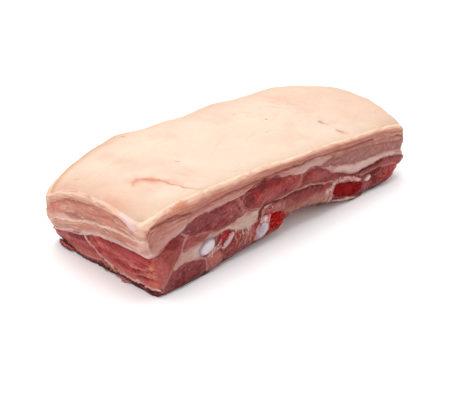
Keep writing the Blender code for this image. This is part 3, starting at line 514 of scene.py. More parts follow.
# Patches, and then membranes and creases, on the left cut end, by the distance back and the height.
END_PATCHES = (
    ("fat gristle", 8, 0.7, 0.1, ((-4, 40), (6, 42), (12, 40), (10, 32), (-2, 33))),
    ("fat pink", 6, 0.55, 0.2, ((34, 30), (58, 28), (74, 24), (92, 15), (100, 14), (94, 20), (66, 31))),
    ("lean light", 3, 0.35, 0.4, ((56, 23), (63, 21), (75, 20), (85, 16.5), (80, 11), (70, 8), (55, 16))),
    # Pinker lean low towards the back: partly membrane, partly painted sheen.
    ("lean pink", 4, 0.55, 0, ((58, 10), (70, 8.5), (84, 10), (94, 8), (92, 3), (74, 3), (62, 3.5))),
    # Orange lean along the near corner: partly salmon flesh, partly painted light on the rounded corner.
    ("lean orange", 3, 0.55, 0.3, ((0.5, 24), (5, 22), (9, 14), (8, 7), (2, 5), (-1, 12))),
    ("lean orange", 3.5, 0.3, 0.5,
     ((30, 49), (45, 47), (58, 45), (64, 42), (56, 38.5), (40, 40), (30, 42))),
    ("lean orange", 3, 0.5, 0.4, ((84, 37), (93, 34), (98, 28), (94, 24), (88, 27), (84, 31))),
    ("fat fresh", 4, 0.5, 0.2, ((-4, 50), (14, 50), (16, 44), (4, 43), (-4, 45))),
    ("fat lavender", 4, 0.75, 0.4,
     ((21, 56), (14, 56.5), (8, 55.5), (4.5, 52), (5, 47), (8.5, 45.5), (12, 48.5), (17, 52))),
    ("fat fresh", 3, 0.75, 0.3, ((2, 57), (-4, 55), (-4, 46), (3, 43), (5, 46), (4.5, 52))),
    ("fat lip", 3, 0.8, 0.2, ((4, 62), (-8, 62), (-8, 51), (-1, 49.5), (3, 52))),
    ("fat ochre", 4, 0.5, 0, ((26, 49), (40, 49), (60, 45), (58, 41), (40, 44), (26, 45))),
    ("lean wine", 2, 0.7, 0, ((58, 22), (70, 19.5), (80, 17), (84, 12), (74, 13), (60, 17))),
    # Orange lean along the near corner: partly salmon flesh, partly painted light on the rounded corner.
    ("lean orange", 3, 0.8, 0.3, ((-4, 29), (1, 27), (4, 22), (3, 14), (0, 8), (-4, 10))),
)
END_LINES = (
    ("fat gristle", 3, 0.8, 0.4, ((99, 20), (92, 25.5), (84, 29), (76, 29.5))),
    ("fat lip", 1.9, 0.85, 0.5,
     ((97, 18.5), (91, 24), (83, 26.5), (70, 29), (57, 33), (44, 36), (31, 38.5), (21, 38.5), (12, 38),
      (4, 40.5))),
    ("fat fresh", 1.2, 0.6, 0.3, ((84, 24.5), (78, 24.5), (70, 26.5), (62, 30))),
    ("fat gristle", 1.5, 0.95, 0.5,
     ((100, 10.5), (88, 15.5), (79.5, 18), (69.5, 20), (57.5, 23.5), (41, 26), (28, 26.5), (13, 29.5),
      (0, 28.5))),
    ("fat gristle", 1.5, 1, 0.6, ((64.5, 19.5), (61, 15.5), (57.5, 11.5), (54.5, 7.5))),
    ("fat membrane", 2, 0.5, 0.2, ((54.5, 7.5), (50, 6.5), (44, 5))),
    # Near the corner: painted highlights along ridges of lean, and painted shade in the dark lines under
    # them.
    ("lean ridge", 1.3, 0.95, 0.9, ((24, 13), (20, 14), (10.5, 17), (4, 19.5), (0.5, 21.5), (-2.5, 25.5))),
    ("lean ridge", 1.3, 0.95, 1, ((22, 8.5), (16, 10), (10.5, 12), (2.5, 14), (-1.5, 17))),
    ("lean dark", 1.3, 0.8, -0.7, ((22, 12), (12, 15), (4, 17), (0.5, 19.5))),
    ("lean dark", 1.3, 0.8, -0.7, ((20, 7), (11, 10), (3, 11.5))),
    ("lean ridge", 1, 0.5, 0.4, ((46, 11), (36, 13.5), (26, 17), (16, 20))),
    ("lean wine", 1.4, 0.7, -0.3, ((50, 22.5), (34, 24.5), (16, 26), (4, 26.5))),
    ("fat seam", 1.4, 0.5, -0.4, ((18, 43.5), (30, 46.5), (42, 44.5), (54, 41.5))),
    ("fat seam", 1.2, 0.6, -0.4,
     ((10, 45), (16, 50), (24, 51.5), (36, 51.5), (50, 49), (64, 47.5), (84, 39.5))),
    ("fat gristle", 1.2, 0.9, 0.5, ((51, 6.5), (44, 4.5), (37.5, 3.5), (25.5, 3.5), (14, 3), (0, 5.5))),
    # Painted shade along the foot.
    ("lean shade", 1.1, 0.7, -0.6, ((0, 3), (12, 1.5), (26, 2), (48, 4))),
)

# Marks on the rind, by the plan: shade, width, how strongly they cover, height, and course.
RIND_MARKS = (
    ("rind blush", 3, 0.6, 0, ((9, 32.5), (12, 35.5), (16, 37))),
    ("rind blush", 5.2, 0.55, 0, ((16, 36.5), (20, 34), (24, 29.5))),
    ("rind orange", 2.2, 0.7, 0, ((18.5, 36), (22, 31.5), (25.5, 28))),
    ("rind orange", 1.3, 0.75, 0, ((25.5, 28), (29, 18.5), (31, 11.5))),
    ("rind tan", 1.6, 0.7, 0, ((31, 11.5), (33.5, 7.5), (36.5, 4))),
    ("rind orange", 1.2, 0.7, 0, ((51, 41), (52.5, 38.5))),
    ("rind brown", 1.3, 0.7, 0, ((51.5, 94), (52, 93))),
    ("rind brown", 1.1, 0.6, 0, ((136, 72.5), (136, 72))),
    ("rind blush", 1.6, 0.5, 0, ((-4, 70), (-3.5, 75))),
    ("rind blush", 9, 0.3, 0, ((-10.5, 20), (-10, 34))),
    ("rind orange", 1.4, 0.7, 0, ((-13, 44), (-13.5, 50))),
    ("rind brown", 2.6, 0.7, 0.1, ((176.5, 30), (177, 27))),
    ("rind tan", 3, 0.6, 0, ((177, 28), (179, 24.5))),
    ("rind brown", 2.6, 0.5, 0.1, ((178, 14), (179, 11))),
    ("rind tan", 4, 0.5, 0, ((178, 13), (180.5, 6))),
    ("rind brown", 1.2, 0.6, 0, ((146, 52), (146.5, 51))),
    ("rind tan", 1.6, 0.5, 0, ((176, 67), (177.5, 65.5))),
    ("rind tan", 0.9, 0.5, 0, ((190, 61.5), (194, 58))),
    ("rind tan", 2, 0.4, 0, ((131, 38), (136, 36.5))),
    ("rind edge", 3, 0.3, 0, ((172, 47), (180, 44))),
    # Painted shade where the rind curls down at the back of the left end.
    ("rind blush", 7, 0.2, 0, ((-12, 66), (-9, 84), (-3, 97))),
    ("rind blush", 8, 0.35, 0, ((12, 38), (24, 30), (30, 20))),
    ("rind tan", 1.1, 0.6, 0, ((36, 4.5), (42, 1.5), (48, -1))),
)

# Shades towards the rind's edges: how strongly they cover, the distance where they start and are full, which
# edges that is from, and where along the slab they start and are full.
RIND_RIMS = (
    ("rind peach", 0.8, (30, 4), ("back", "left"), None),
    ("rind peach", 0.7, (70, 10), ("right",), None),
    ("rind edge", 0.45, (14, 0), ("front", "back", "left", "right"), None),
    # Painted shade where the rind curls down along the back.
    ("rind tan", 0.9, (17, 4), ("back",), (70, 20)),
)
# Clouds on the rind: shade, strength, size, seed, and the noise over which they come in.
RIND_CLOUDS = (("rind peach", 0.7, 24.0, 65, (0.0, 0.7)), ("rind blush", 0.2, 26.0, 66, (0.1, 0.7)))
# Scrapes of the knife by angle, width, length and seed, pores by size, seed and octaves, and their places.
SCRATCHES, SCRATCHED = (-52, 1.1, 34.0, 67), (22.0, 68)
WIPES = (24, 1.6, 26.0, 69)
PORES, PORED, PORED_ALONG = (1.7, 70, 2), (26.0, 72), (60, 110)
# The rind's mottles by size, seed and tone, and its swells and dimples by size and seed.
RIND_MOTTLES = ((15.0, 61, 0.045), (3.5, 62, 0.03))
RIND_SWELLS, RIND_DIMPLES = (20.0, 64), (4.2, 63)

# Torn shreds along the foot of the left cut end: where each starts and ends, its top and foot there, how far
# its foot stands out, and its shades from top to foot.
SHREDS = {
    # Lean shade at a shred's foot is painted shade under it; the torn flap's fat ochre band is a painted
    # sheen.
    "membrane_skirt": {"reach": (-1.5, 40), "top": (5.4, 3.8), "foot": (1.8, 1.2), "out": 0.9,
                       "shades": ("fat gristle", "lean wine", "lean shade")},
    "torn_flap": {"reach": (37, 54), "top": (3.6, 7.4), "foot": (0, 1.6), "out": 1.8,
                  "shades": ("lean wine", "fat ochre", "lean shade")},
    "torn_tip_near": {"reach": (24, 39), "top": (2.8, 2.2), "foot": (0, 0), "out": 2.6,
                      "shades": ("lean wine", "lean rose", "lean pink")},
    "torn_tip_back": {"reach": (80, 96), "top": (3.2, 4.2), "foot": (0.4, 1.4), "out": 1.2,
                      "shades": ("lean wine", "lean rose", "lean wine")},
}
# How thick a shred is, how far its root lies in the flesh, how deep its foot is torn, and how it curls out.
SHRED_THICKNESS, SHRED_ROOT, SHRED_TORN, SHRED_CURL = 0.6, 0.4, 1.6, 1.3
# Noise of the shreds: size and seed, and for the mottle its tone.
SHRED_WAVES, SHRED_TEARS, SHRED_CRUMPLES = (4.0, 131), (3.0, 132), (2.6, 133)
SHRED_WANDER, SHRED_MOTTLE = ((5.0, 1.5), 134), (2.0, 135, 0.15)

# How much light the cut faces and the rind get: shades are as they look there, and this is divided out.
CUT_LIGHT, RIND_LIGHT = 1.06, 1.5
# White light off the moist surface, which adds to every colour.
VEIL, LEAST_KEPT = 0.035, 0.25

# The cut faces: the sawn front and back, and the sliced ends. Each has its shades and marks, and then noise
# by the size of its lumps in millimetres, its seed, its tone (how far it darkens and lightens) and its rise.
CUT_FACES = {
    "sawn": {
        "shades": SAWN_SHADES, "patches": SAWN_PATCHES, "lines": SAWN_LINES, "streaks": SAWN_STREAKS,
        # How the shades of a layer wander up and down: size, seed, strength.
        "wander": (((16.0, 0.5), 21, 0.1), ((5.0, 0.25), 22, 0.05)),
        # Fat: bands and ripples, and thin lines by how close they come, their length, seed and strength.
        "bands": ((26.0, 0.16), 23, 0.10),
        "strata": ((1, 30.0, 101, 1), (1.8, 16.0, 105, 0.7)),
        "ripples": ((9.0, 0.9), 24, 0.06, 0.12),
        # Lean: the lie of its fibres in degrees, by the distance along, its bundles, and its fibres by width,
        # length, seed, tone and rise.
        "lie": ((0, 12), (240, 12)),
        "bundles": ((1.9, 1.5), 25, 0.28, 0.3),
        "fibres": ((0.8, 4.5, 26, 0.18, 0.12),),
        # Flecks: shade, strength, whether on lean or fat, size, seed, and the noise over which they come in.
        "flecks": (
            ("fat tan", 0.4, "fat", (6.0, 2.2), 34, (0.1, 0.7)),
            ("fat fresh", 0.16, "fat", (7.0, 1.6), 35, (0.2, 0.8)),
            # Pale flecks on the lean: partly membrane, partly painted highlights of moisture.
            ("fat membrane", 0.45, "lean", (3.2, 1.1), 27, (0.35, 0.8)),
        ),
        # How strongly painted glints, highlights along long fibres, show.
        "glint": 0,
        "lumps": (6.0, 28, 0.08, 0.35),
        # Small lumps of fat: size, seed and rise.
        "greasy": (1.3, 29, 0.1),
        # Painted shade at the foot, by the board: strength, and the heights at which it starts and is full.
        "foot": (0.6, 3.5, 0.5),
    },
    "end": {
        "shades": END_SHADES, "patches": END_PATCHES, "lines": END_LINES, "streaks": (),
        "wander": (((13.0, 0.5), 41, 0.14), ((5.0, 0.25), 42, 0.07)),
        "bands": ((16.0, 0.2), 43, 0.10),
        "strata": ((1, 18.0, 111, 1.5), (1.7, 11.0, 115, 1)),
        "ripples": ((7.0, 1.1), 44, 0.07, 0.15),
        "lie": ((0, 2), (20, 6), (40, 18), (60, 40), (80, 55), (104, 62)),
        "bundles": ((2.2, 1.5), 50, 0.18, 0.2),
        "fibres": ((1.1, 11.0, 45, 0.24, 0.4), (0.5, 5.0, 46, 0.26, 0.2)),
        "flecks": (
            ("fat rosy", 0.4, "fat", (7.0, 2.4), 51, (0.1, 0.7)),
            ("fat gristle", 0.5, "fat", (8.0, 1.6), 52, (0.2, 0.8)),
            # Pale flecks on the lean: partly gristle, partly painted highlights of moisture.
            ("fat gristle", 0.3, "lean", (2.6, 0.8), 53, (0.4, 0.85)),
        ),
        "glint": 0.24,
        "lumps": (7.0, 48, 0.08, 0.4),
        "greasy": (1.4, 49, 0.12),
        "foot": (0.75, 2.8, 0.4),
    },
}
# Painted glints: the fibres they lie along, and the noise over which they show.
GLINT_FIBRES, GLINT_SHOWS = (1.3, 14.0, 47), (0.3, 0.75)

# The studio, in metres: the camera looks at a point in the slab, and the key light hangs over it.
LOOK_POINT = (-0.02845, -0.0213, 0.0220)
CAMERA_TOWARDS, CAMERA_AWAY = (-0.62858, -0.62924, 0.45737), 0.73158
CAMERA_LENS, CAMERA_SENSOR, CAMERA_CLIP = 88.0, 36.0, (0.01, 20.0)
KEY_TOWARDS, KEY_AWAY, KEY_SIZE = (0.0, 0.24, 1.0), 1.1, 1.3
FLOOR_HALF, FLOOR_WHITE, FLOOR_ROUGHNESS = 3.0, 0.92, 0.9


def curve(points, at):
    """A smooth curve through (position, value) points that never overshoots them."""
    xs, ys = (np.array(column, float) for column in zip(*points))
    at = np.clip(np.asarray(at, float), xs[0], xs[-1])
    steps = np.diff(ys) / np.diff(xs)
    slopes = np.zeros_like(xs)
    same_way = steps[:-1] * steps[1:] > 0
    slopes[1:-1][same_way] = 2 / (1 / steps[:-1][same_way] + 1 / steps[1:][same_way])
    slopes[0], slopes[-1] = steps[0], steps[-1]
    k = np.clip(np.searchsorted(xs, at, side="right") - 1, 0, len(xs) - 2)
    width = xs[k + 1] - xs[k]
    t = (at - xs[k]) / width
    return (
        (2 * t**3 - 3 * t**2 + 1) * ys[k]
        + (t**3 - 2 * t**2 + t) * width * slopes[k]
        + (3 * t**2 - 2 * t**3) * ys[k + 1]
        + (t**3 - t**2) * width * slopes[k + 1]
    )


def top_height(x, y):
    left_share = np.exp(-(x - LEFT_TOP) / TOP_END_REACH)
    right_share = np.clip((x - RIGHT_RISE_FROM) / (RIGHT_END - RIGHT_RISE_FROM), 0, 1)
    backwards = curve(TOP_BACKWARDS, y)
    backwards = backwards * (1 - right_share) + curve(TOP_BACKWARDS_AT_RIGHT_END, y) * right_share
    backwards = backwards * (1 - left_share) + curve(TOP_BACKWARDS_AT_LEFT_END, y) * left_share
    return curve(TOP_FRONT, x) + backwards


def underside_height(x, y):
    arch = curve(UNDERSIDE_FRONT, x) * np.exp(-((y / ARCH_DEPTH) ** 2))
    right = RIGHT_LIFT * np.exp(-(((RIGHT_END - x) / RIGHT_LIFT_REACH) ** 2))
    right = right * np.clip(y / ARCH_DEPTH, 0, 1)
    back = BACK_LIFT * np.exp(-(((WIDTH - y) / BACK_LIFT_REACH) ** 2))
    return np.maximum(arch + right + back - PRESSED_FLAT, 0.0)


def skins(x, y):
    """Heights of the rind and the underside at a place in the plan."""
    return top_height(x, y), underside_height(x, y)


def share_down(skin, height):
    """How deep a height lies between the rind and the underside: 0 at the rind and 1 at the underside."""
    top, under = skin
    return (top - height) / (top - under)


def levels(x, y):
    """Heights of the rind, the five boundaries and the underside at a place in the plan."""
    top, under = skins(x, y)
    end_x = 0 * x + LEFT_TOP
    front_skin, end_skin, corner_skin = skins(x, 0 * y), skins(end_x, y), skins(end_x, 0 * y)
    heights = [top]
    for rule in BOUNDARIES:
        front = share_down(front_skin, curve(rule["front"], x))
        end = share_down(end_skin, curve(rule["end"], y))
        corner = share_down(corner_skin, curve(rule["end"], 0 * y))
        share = front + (end - corner) * np.exp(-(x - LEFT_TOP) / rule["reach"])
        heights.append(np.minimum(top - share * (top - under), heights[-1] - THINNEST_LAYER))
    heights.append(under)
    for above in range(len(heights) - 2, 0, -1):
        heights[above] = np.maximum(heights[above], heights[above + 1] + THINNEST_LAYER)
    return heights


def front_face(relative):
    return curve(FRONT_PROFILE, relative)


def back_face(x, relative):
    return curve(BACK_PLAN, x) + curve(BACK_PROFILE, relative)


def left_face(y, z, relative):
    overhang = LEFT_OVERHANG * (np.maximum(z, 0) / LEFT_OVERHANG_HEIGHT) ** LEFT_OVERHANG_POWER
    return curve(LEFT_ROUNDING, y) + curve(LEFT_EDGE_ROUNDING, relative) - overhang


def right_face(y, relative):
    return curve(RIGHT_PLAN, y) + curve(RIGHT_PROFILE, relative)


def plan(u, v):
    """Place in the plain plan of the slab, from shares of its length and width."""
    return LEFT_TOP + LENGTH * u, WIDTH * v


def outward(u):
    """1 and -1 on the two walls across a direction, and 0 between them."""
    return (u > 1 - ON_SIDE).astype(float) - (u < ON_SIDE)


def placed(u, v, z):
    """Where a point lies that is u along, v back and z high in the slab, between its outer faces."""
    x, y = plan(u, v)
    top, under = skins(x, y)
    relative = np.clip((z - under) / (top - under), 0, 1)
    x = left_face(y, z, relative) * (1 - u) + right_face(y, relative) * u
    y = front_face(relative) * (1 - v) + back_face(x, relative) * v
    return x, y


def fat_skin(x, y, depth):
    """Thickness of the fat over and under a pale muscle: thin where it shows, thicker inside."""
    nearest = np.minimum(np.minimum(x - LEFT_TOP, RIGHT_END - x), np.minimum(y, WIDTH - y))
    wanted = MUSCLE_SKIN + (MUSCLE_SKIN_INSIDE - MUSCLE_SKIN) * np.clip(nearest / MUSCLE_SKIN_DEPTH, 0, 1)
    return np.minimum(wanted, MOST_SKIN_SHARE * depth)


def near_muscle_course(u, v):
    """Plan place and heights of the pale muscle that shows at the left cut end."""
    y = WIDTH * v
    x = LEFT_TOP + (curve(NEAR_MUSCLE_TIP, y) - LEFT_TOP) * u
    heights = levels(x, y)
    skin = fat_skin(x, y, heights[STREAK] - heights[LEAN_TOP])
    inside = np.clip(y / NEAR_MUSCLE_FLOOR_DEPTH, 0, 1)
    floor = np.maximum(curve(NEAR_MUSCLE_FLOOR, x) * (1 - inside), skin)
    return x, heights[STREAK] - skin, heights[LEAN_TOP] + floor, 1 - u**NEAR_MUSCLE_TAPER


def far_muscle_course(u, v):
    """Plan place and heights of the pale muscle that shows on the front face towards the far end."""
    y = WIDTH * v
    x = FAR_MUSCLE_TIP + (RIGHT_END - FAR_MUSCLE_TIP) * u
    heights, front = levels(x, y), levels(x, 0 * y)
    depth = front[STREAK] - front[LEAN_TOP]
    top_share = (front[STREAK] - curve(FAR_MUSCLE_TOP, x)) / depth
    floor_share = (front[STREAK] - curve(FAR_MUSCLE_FLOOR, x)) / depth
    here = heights[STREAK] - heights[LEAN_TOP]
    skin = fat_skin(x, y, here)
    high = np.minimum(heights[STREAK] - top_share * here, heights[STREAK] - skin)
    low = np.maximum(heights[STREAK] - floor_share * here, heights[LEAN_TOP] + skin)
    return x, high, low, 1 - (1 - u) ** FAR_MUSCLE_TAPER


# Each pale muscle: its course, and the side of its unit block that ends inside the slab.
PALE_MUSCLES = {"pale_muscle_near": (near_muscle_course, 1), "pale_muscle_far": (far_muscle_course, 0)}


# Grain, fibres and tissue


def scattered(cells, seed):
    """One fixed number between -1 and 1 for each cell of a grid."""
    mixed = np.full(cells[0].shape, seed * 2654435761 % 2**32, np.uint64)
    for axis, factor in zip(cells, (374761393, 668265263, 2246822519)):
        mixed = (mixed + (axis.astype(np.int64) % 2**32).astype(np.uint64) * factor) % 2**32
        mixed = ((mixed ^ (mixed >> np.uint64(15))) * 2246822519) % 2**32
    mixed = ((mixed ^ (mixed >> np.uint64(13))) * 3266489917) % 2**32
    return (mixed ^ (mixed >> np.uint64(16))) / 2.0**31 - 1


def noise(places, size, seed):
    """Smooth noise between about -1 and 1 with lumps of the given size, one size for each direction."""
    sizes = size if isinstance(size, tuple) else (size,) * len(places)
    scaled = [np.asarray(place, float) / one for place, one in zip(places, sizes)]
    cells = [np.floor(place) for place in scaled]
    within = [place - cell for place, cell in zip(scaled, cells)]
    eased = [t * t * (3 - 2 * t) for t in within]
    total = np.zeros(scaled[0].shape)
    for corner in range(2 ** len(places)):
        steps = [(corner >> axis) & 1 for axis in range(len(places))]
        share = np.ones(scaled[0].shape)
        for step, ease in zip(steps, eased):
            share = share * (ease if step else 1 - ease)
        total += share * scattered([cell + step for cell, step in zip(cells, steps)], seed)
    return total


def layered_noise(places, size, seed, octaves=3):
    """Noise with finer and fainter noise added to it."""
    sizes = size if isinstance(size, tuple) else (size,) * len(places)
    total, strength = 0.0, 1.0
    for octave in range(octaves):
        scaled = tuple(one / 2**octave for one in sizes)
        total = total + strength * noise(places, scaled, seed + octave)
        strength /= 2
    return total / (2 - 2 * strength)


def fibres(along, across, angle, width, length, seed):
    """Noise drawn out into fibres that lie at an angle, in degrees, to the first direction."""
    turn = np.radians(angle)
    with_grain = along * np.cos(turn) + across * np.sin(turn)
    over_grain = across * np.cos(turn) - along * np.sin(turn)
    over_grain = over_grain + 0.9 * noise((along, across), 9.0, seed + 50)
    return layered_noise((with_grain, over_grain), (length, width), seed, 2)


def smooth_step(low, high, value):
    t = np.clip((value - low) / (high - low), 0, 1)
    return t * t * (3 - 2 * t)


def linear_from_hex(text):
    channels = np.array([int(text[k:k + 2], 16) for k in (0, 2, 4)]) / 255
    return np.where(channels <= 0.04045, channels / 12.92, ((channels + 0.055) / 1.055) ** 2.4)


def shade(name):
    """The linear colour of a shade, such as "lean dark", with the user's tint for its tissue."""
    tissue, kind = name.split()
    tint = getattr(bpy.context.scene.slab_colours, tissue)
    return linear_from_hex(SHADES[tissue][kind]) * np.array(tint)


def blended(colour, name, amount):
    """A colour with some of a shade mixed in."""
    return colour * (1 - amount[:, None]) + shade(name) * amount[:, None]


def lit(colour, light):
    """The tissue's own colour, from how it looks in a given light."""
    return np.maximum(colour - VEIL, LEAST_KEPT * colour) / light


def edge_distance(a, b, outline, is_closed):
    """Distance of each place from an outline, and whether it lies inside a closed one."""
    points = np.array(outline, float)
    ends = np.roll(points, -1, axis=0) if is_closed else points[1:]
    nearest = np.full(a.shape, np.inf)
    inside = np.zeros(a.shape, bool)
    for (ax, ay), (bx, by) in zip(points, ends):
        length = (bx - ax) ** 2 + (by - ay) ** 2
        t = np.clip(((a - ax) * (bx - ax) + (b - ay) * (by - ay)) / length, 0, 1)
        nearest = np.minimum(nearest, np.hypot(a - ax - t * (bx - ax), b - ay - t * (by - ay)))
        if is_closed and ay != by:
            crosses = ((ay > b) != (by > b)) & (a < ax + (b - ay) * (bx - ax) / (by - ay))
            inside ^= crosses
    return nearest, inside


class Tissue:
    """Colour, relief in millimetres and share of lean at a set of places on one face.

    Marks are drawn on bent places, so that their courses wander as cut tissue does.
    """

    def __init__(self, a, b):
        self.a, self.b = a, b
        self.bent_a = a + 0.9 * noise((a, b), BEND, 11) + 0.7 * layered_noise((a, b), FINE_BEND, 12)
        self.bent_b = b + 0.7 * noise((a, b), BEND, 13) + 0.6 * layered_noise((a, b), FINE_BEND, 14)
        self.colour = np.zeros((len(a), 3))
        self.height = np.zeros(len(a))
        self.lean = np.zeros(len(a))

    def cover(self, name, amount, here=slice(None)):
        """Lays some of a shade over the given places."""
        self.colour[here] = blended(self.colour[here], name, amount)
        self.lean[here] = self.lean[here] * (1 - amount) + name.startswith(("lean", "bone")) * amount

    def ribbon(self, names, share):
        """Shades that follow one another down a layer, from its top."""
        place = np.clip((1 - share) * len(names) - 0.5, 0, len(names) - 1)
        colours = np.array([shade(name) for name in names])
        leans = np.array([float(name.startswith("lean")) for name in names])
        stops = np.arange(len(names))
        self.colour = np.stack([np.interp(place, stops, colours[:, k]) for k in range(3)], axis=1)
        self.lean = np.interp(place, stops, leans)

    def near(self, outline, reach):
        points = np.array(outline, float)
        low, high = points.min(axis=0) - reach, points.max(axis=0) + reach
        in_a = (self.bent_a > low[0]) & (self.bent_a < high[0])
        return in_a & (self.bent_b > low[1]) & (self.bent_b < high[1])

    def patch(self, name, softness, strength, bulge, outline):
        here = self.near(outline, softness)
        away, inside = edge_distance(self.bent_a[here], self.bent_b[here], outline, True)
        depth = np.where(inside, away, -away)
        self.cover(name, strength * smooth_step(-softness / 2, softness / 2, depth), here)
        self.height[here] += bulge * (1 - np.exp(-np.maximum(depth, 0) / SHOULDER))
        if softness < CRISP:
            patchy = np.clip(0.5 + 0.8 * noise((self.a[here], self.b[here]), *MEMBRANE_BREAKS), 0, 1)
            within = "lean dark" if name.startswith("lean") else name
            for rim, (share, at, wide) in (("fat membrane", MEMBRANE), (within, BEHIND_MEMBRANE)):
                self.cover(rim, share * strength * np.exp(-(((depth - at) / wide) ** 2)) * patchy, here)

    def streaks(self, name, angle, strength, outline):
        """Short torn strands inside an outline, at an angle in degrees."""
        here = self.near(outline, 2)
        a, b = self.bent_a[here], self.bent_b[here]
        away, inside = edge_distance(a, b, outline, True)
        strands = fibres(a, b, angle, *STRAND, STRAND_SEED + angle)
        shown = smooth_step(0.05, 0.5, strands) * smooth_step(-1, 1.5, np.where(inside, away, -away))
        self.cover(name, strength * shown, here)
        self.height[here] += STRAND_RISE * shown

    def line(self, name, width, strength, rise, course):
        here = self.near(course, 2 * width)
        a, b = self.bent_a[here], self.bent_b[here]
        away = edge_distance(a, b, course, False)[0]
        wide = width * (0.5 + 0.22 * noise((a, b), *LINE_WIDTHS))
        profile = np.exp(-((away / wide) ** 2))
        broken = np.clip(1 + 0.35 * noise((a, b), *LINE_BREAKS), 0, 1)
        self.cover(name, strength * profile * broken, here)
        self.height[here] += rise * profile

    def strata(self, along, share, length, seed, boost=1):
        """Thin brown and pale lines that run along a layer of fat."""
        for name, strength, rise, offset in STRATA:
            course = layered_noise((along, share), (length, 0.17), seed + offset, 2)
            broken = smooth_step(-0.4, 0.5, noise((along, share), (9.0, 0.2), seed + offset + 2))
            lines = smooth_step(0.14, 0.0, np.abs(course)) * broken
            self.cover(name, strength * boost * lines)
            self.height += rise * boost * lines

    def mottle(self, places, size, seed, tone, rise=0.0):
        """Lumps that are darker or lighter, and lower or higher."""
        lumps = layered_noise(places, size, seed)
        self.colour *= (1 + tone * lumps)[:, None]
        self.height += rise * lumps

    def flecks(self, name, amount, low, high, seen):
        """A shade where some noise is high, coming in between two of its values."""
        self.cover(name, amount * smooth_step(low, high, seen))


def rib_hollow(tissue):
    """The shrunk edge of the flesh round each rib end, and the hollow that the rib stands in."""
    for size in RIBS.values():
        radius = rib_radius(size, tissue.a, tissue.b)
        ring = size["ring"] * np.exp(-(((radius - RING_AT) / RING_WIDTH) ** 2))
        tissue.cover("bone cartilage_edge", ring)
        sunk = HOLLOW_DEPTH_GROWN_IN if size.get("grown_in") else HOLLOW_DEPTH
        tissue.height -= RING_DEPTH * ring + sunk * smooth_step(1.05, 0.9, radius)


def turned(across, up, angle):
    """A step across and up on the sawn face, turned by an angle."""
    return across * math.cos(angle) - up * math.sin(angle), across * math.sin(angle) + up * math.cos(angle)


def rib_radius(size, x, z):
    """How far out a place lies in a rib's section: 1 is its edge."""
    across, up = turned(x - size["centre"][0], z - size["centre"][1], -math.radians(size["tilt"]))
    across, up = np.abs(across) / size["half"][0], np.abs(up) / size["half"][1]
    return (across ** size["square"] + up ** size["square"]) ** (1 / size["square"])


def cut_tissue(kind, name, share, along, z):
    """Tissue of a layer on a sawn face or a cut end, by the share of its depth and the place on that face."""
    face = CUT_FACES[kind]
    tissue = Tissue(along, z)
    wander = sum(strength * noise((along, share), size, seed) for size, seed, strength in face["wander"])
    tissue.ribbon(face["shades"][name], share + wander)
    if name in FAT_LAYERS:
        tissue.mottle((along, share), *face["bands"])
        for often, length, seed, strength in face["strata"]:
            tissue.strata(along, share * often, length, seed, strength)
        tissue.mottle((along, z), *face["ripples"])
    for draw, marks in ((tissue.patch, "patches"), (tissue.line, "lines"), (tissue.streaks, "streaks")):
        for mark in face[marks]:
            draw(*mark)
    if kind == "sawn":
        rib_hollow(tissue)

    lie = curve(face["lie"], along)
    size, seed, tone, rise = face["bundles"]
    bundles = layered_noise((along, z), size, seed)
    tones, rises = tone * bundles, rise * bundles
    for width, length, seed, tone, rise in face["fibres"]:
        grain = fibres(along, z, lie, width, length, seed)
        tones, rises = tones + tone * grain, rises + rise * grain
    tissue.colour *= (1 + tissue.lean * tones)[:, None]
    tissue.height += tissue.lean * rises
    # Flecks, some of them painted highlights of moisture on the lean.
    for fleck, strength, ground, size, seed, shows in face["flecks"]:
        on_ground = tissue.lean if ground == "lean" else 1 - tissue.lean
        tissue.flecks(fleck, strength * on_ground, *shows, layered_noise((along, z), size, seed))
    # Painted highlights glinting along long fibres.
    if face["glint"]:
        glints = fibres(along, z, lie, *GLINT_FIBRES)
        tissue.flecks("lean ridge", face["glint"] * tissue.lean, *GLINT_SHOWS, glints)
    tissue.mottle((along, z), *face["lumps"])
    size, seed, rise = face["greasy"]
    tissue.height += rise * (1 - tissue.lean) * noise((along, z), size, seed)
    # Painted shade at the foot, where the slab meets the board.
    strength, start, full = face["foot"]
    tissue.cover("lean shade", strength * smooth_step(start, full, z))
    tissue.colour = lit(tissue.colour, CUT_LIGHT)
    return tissue


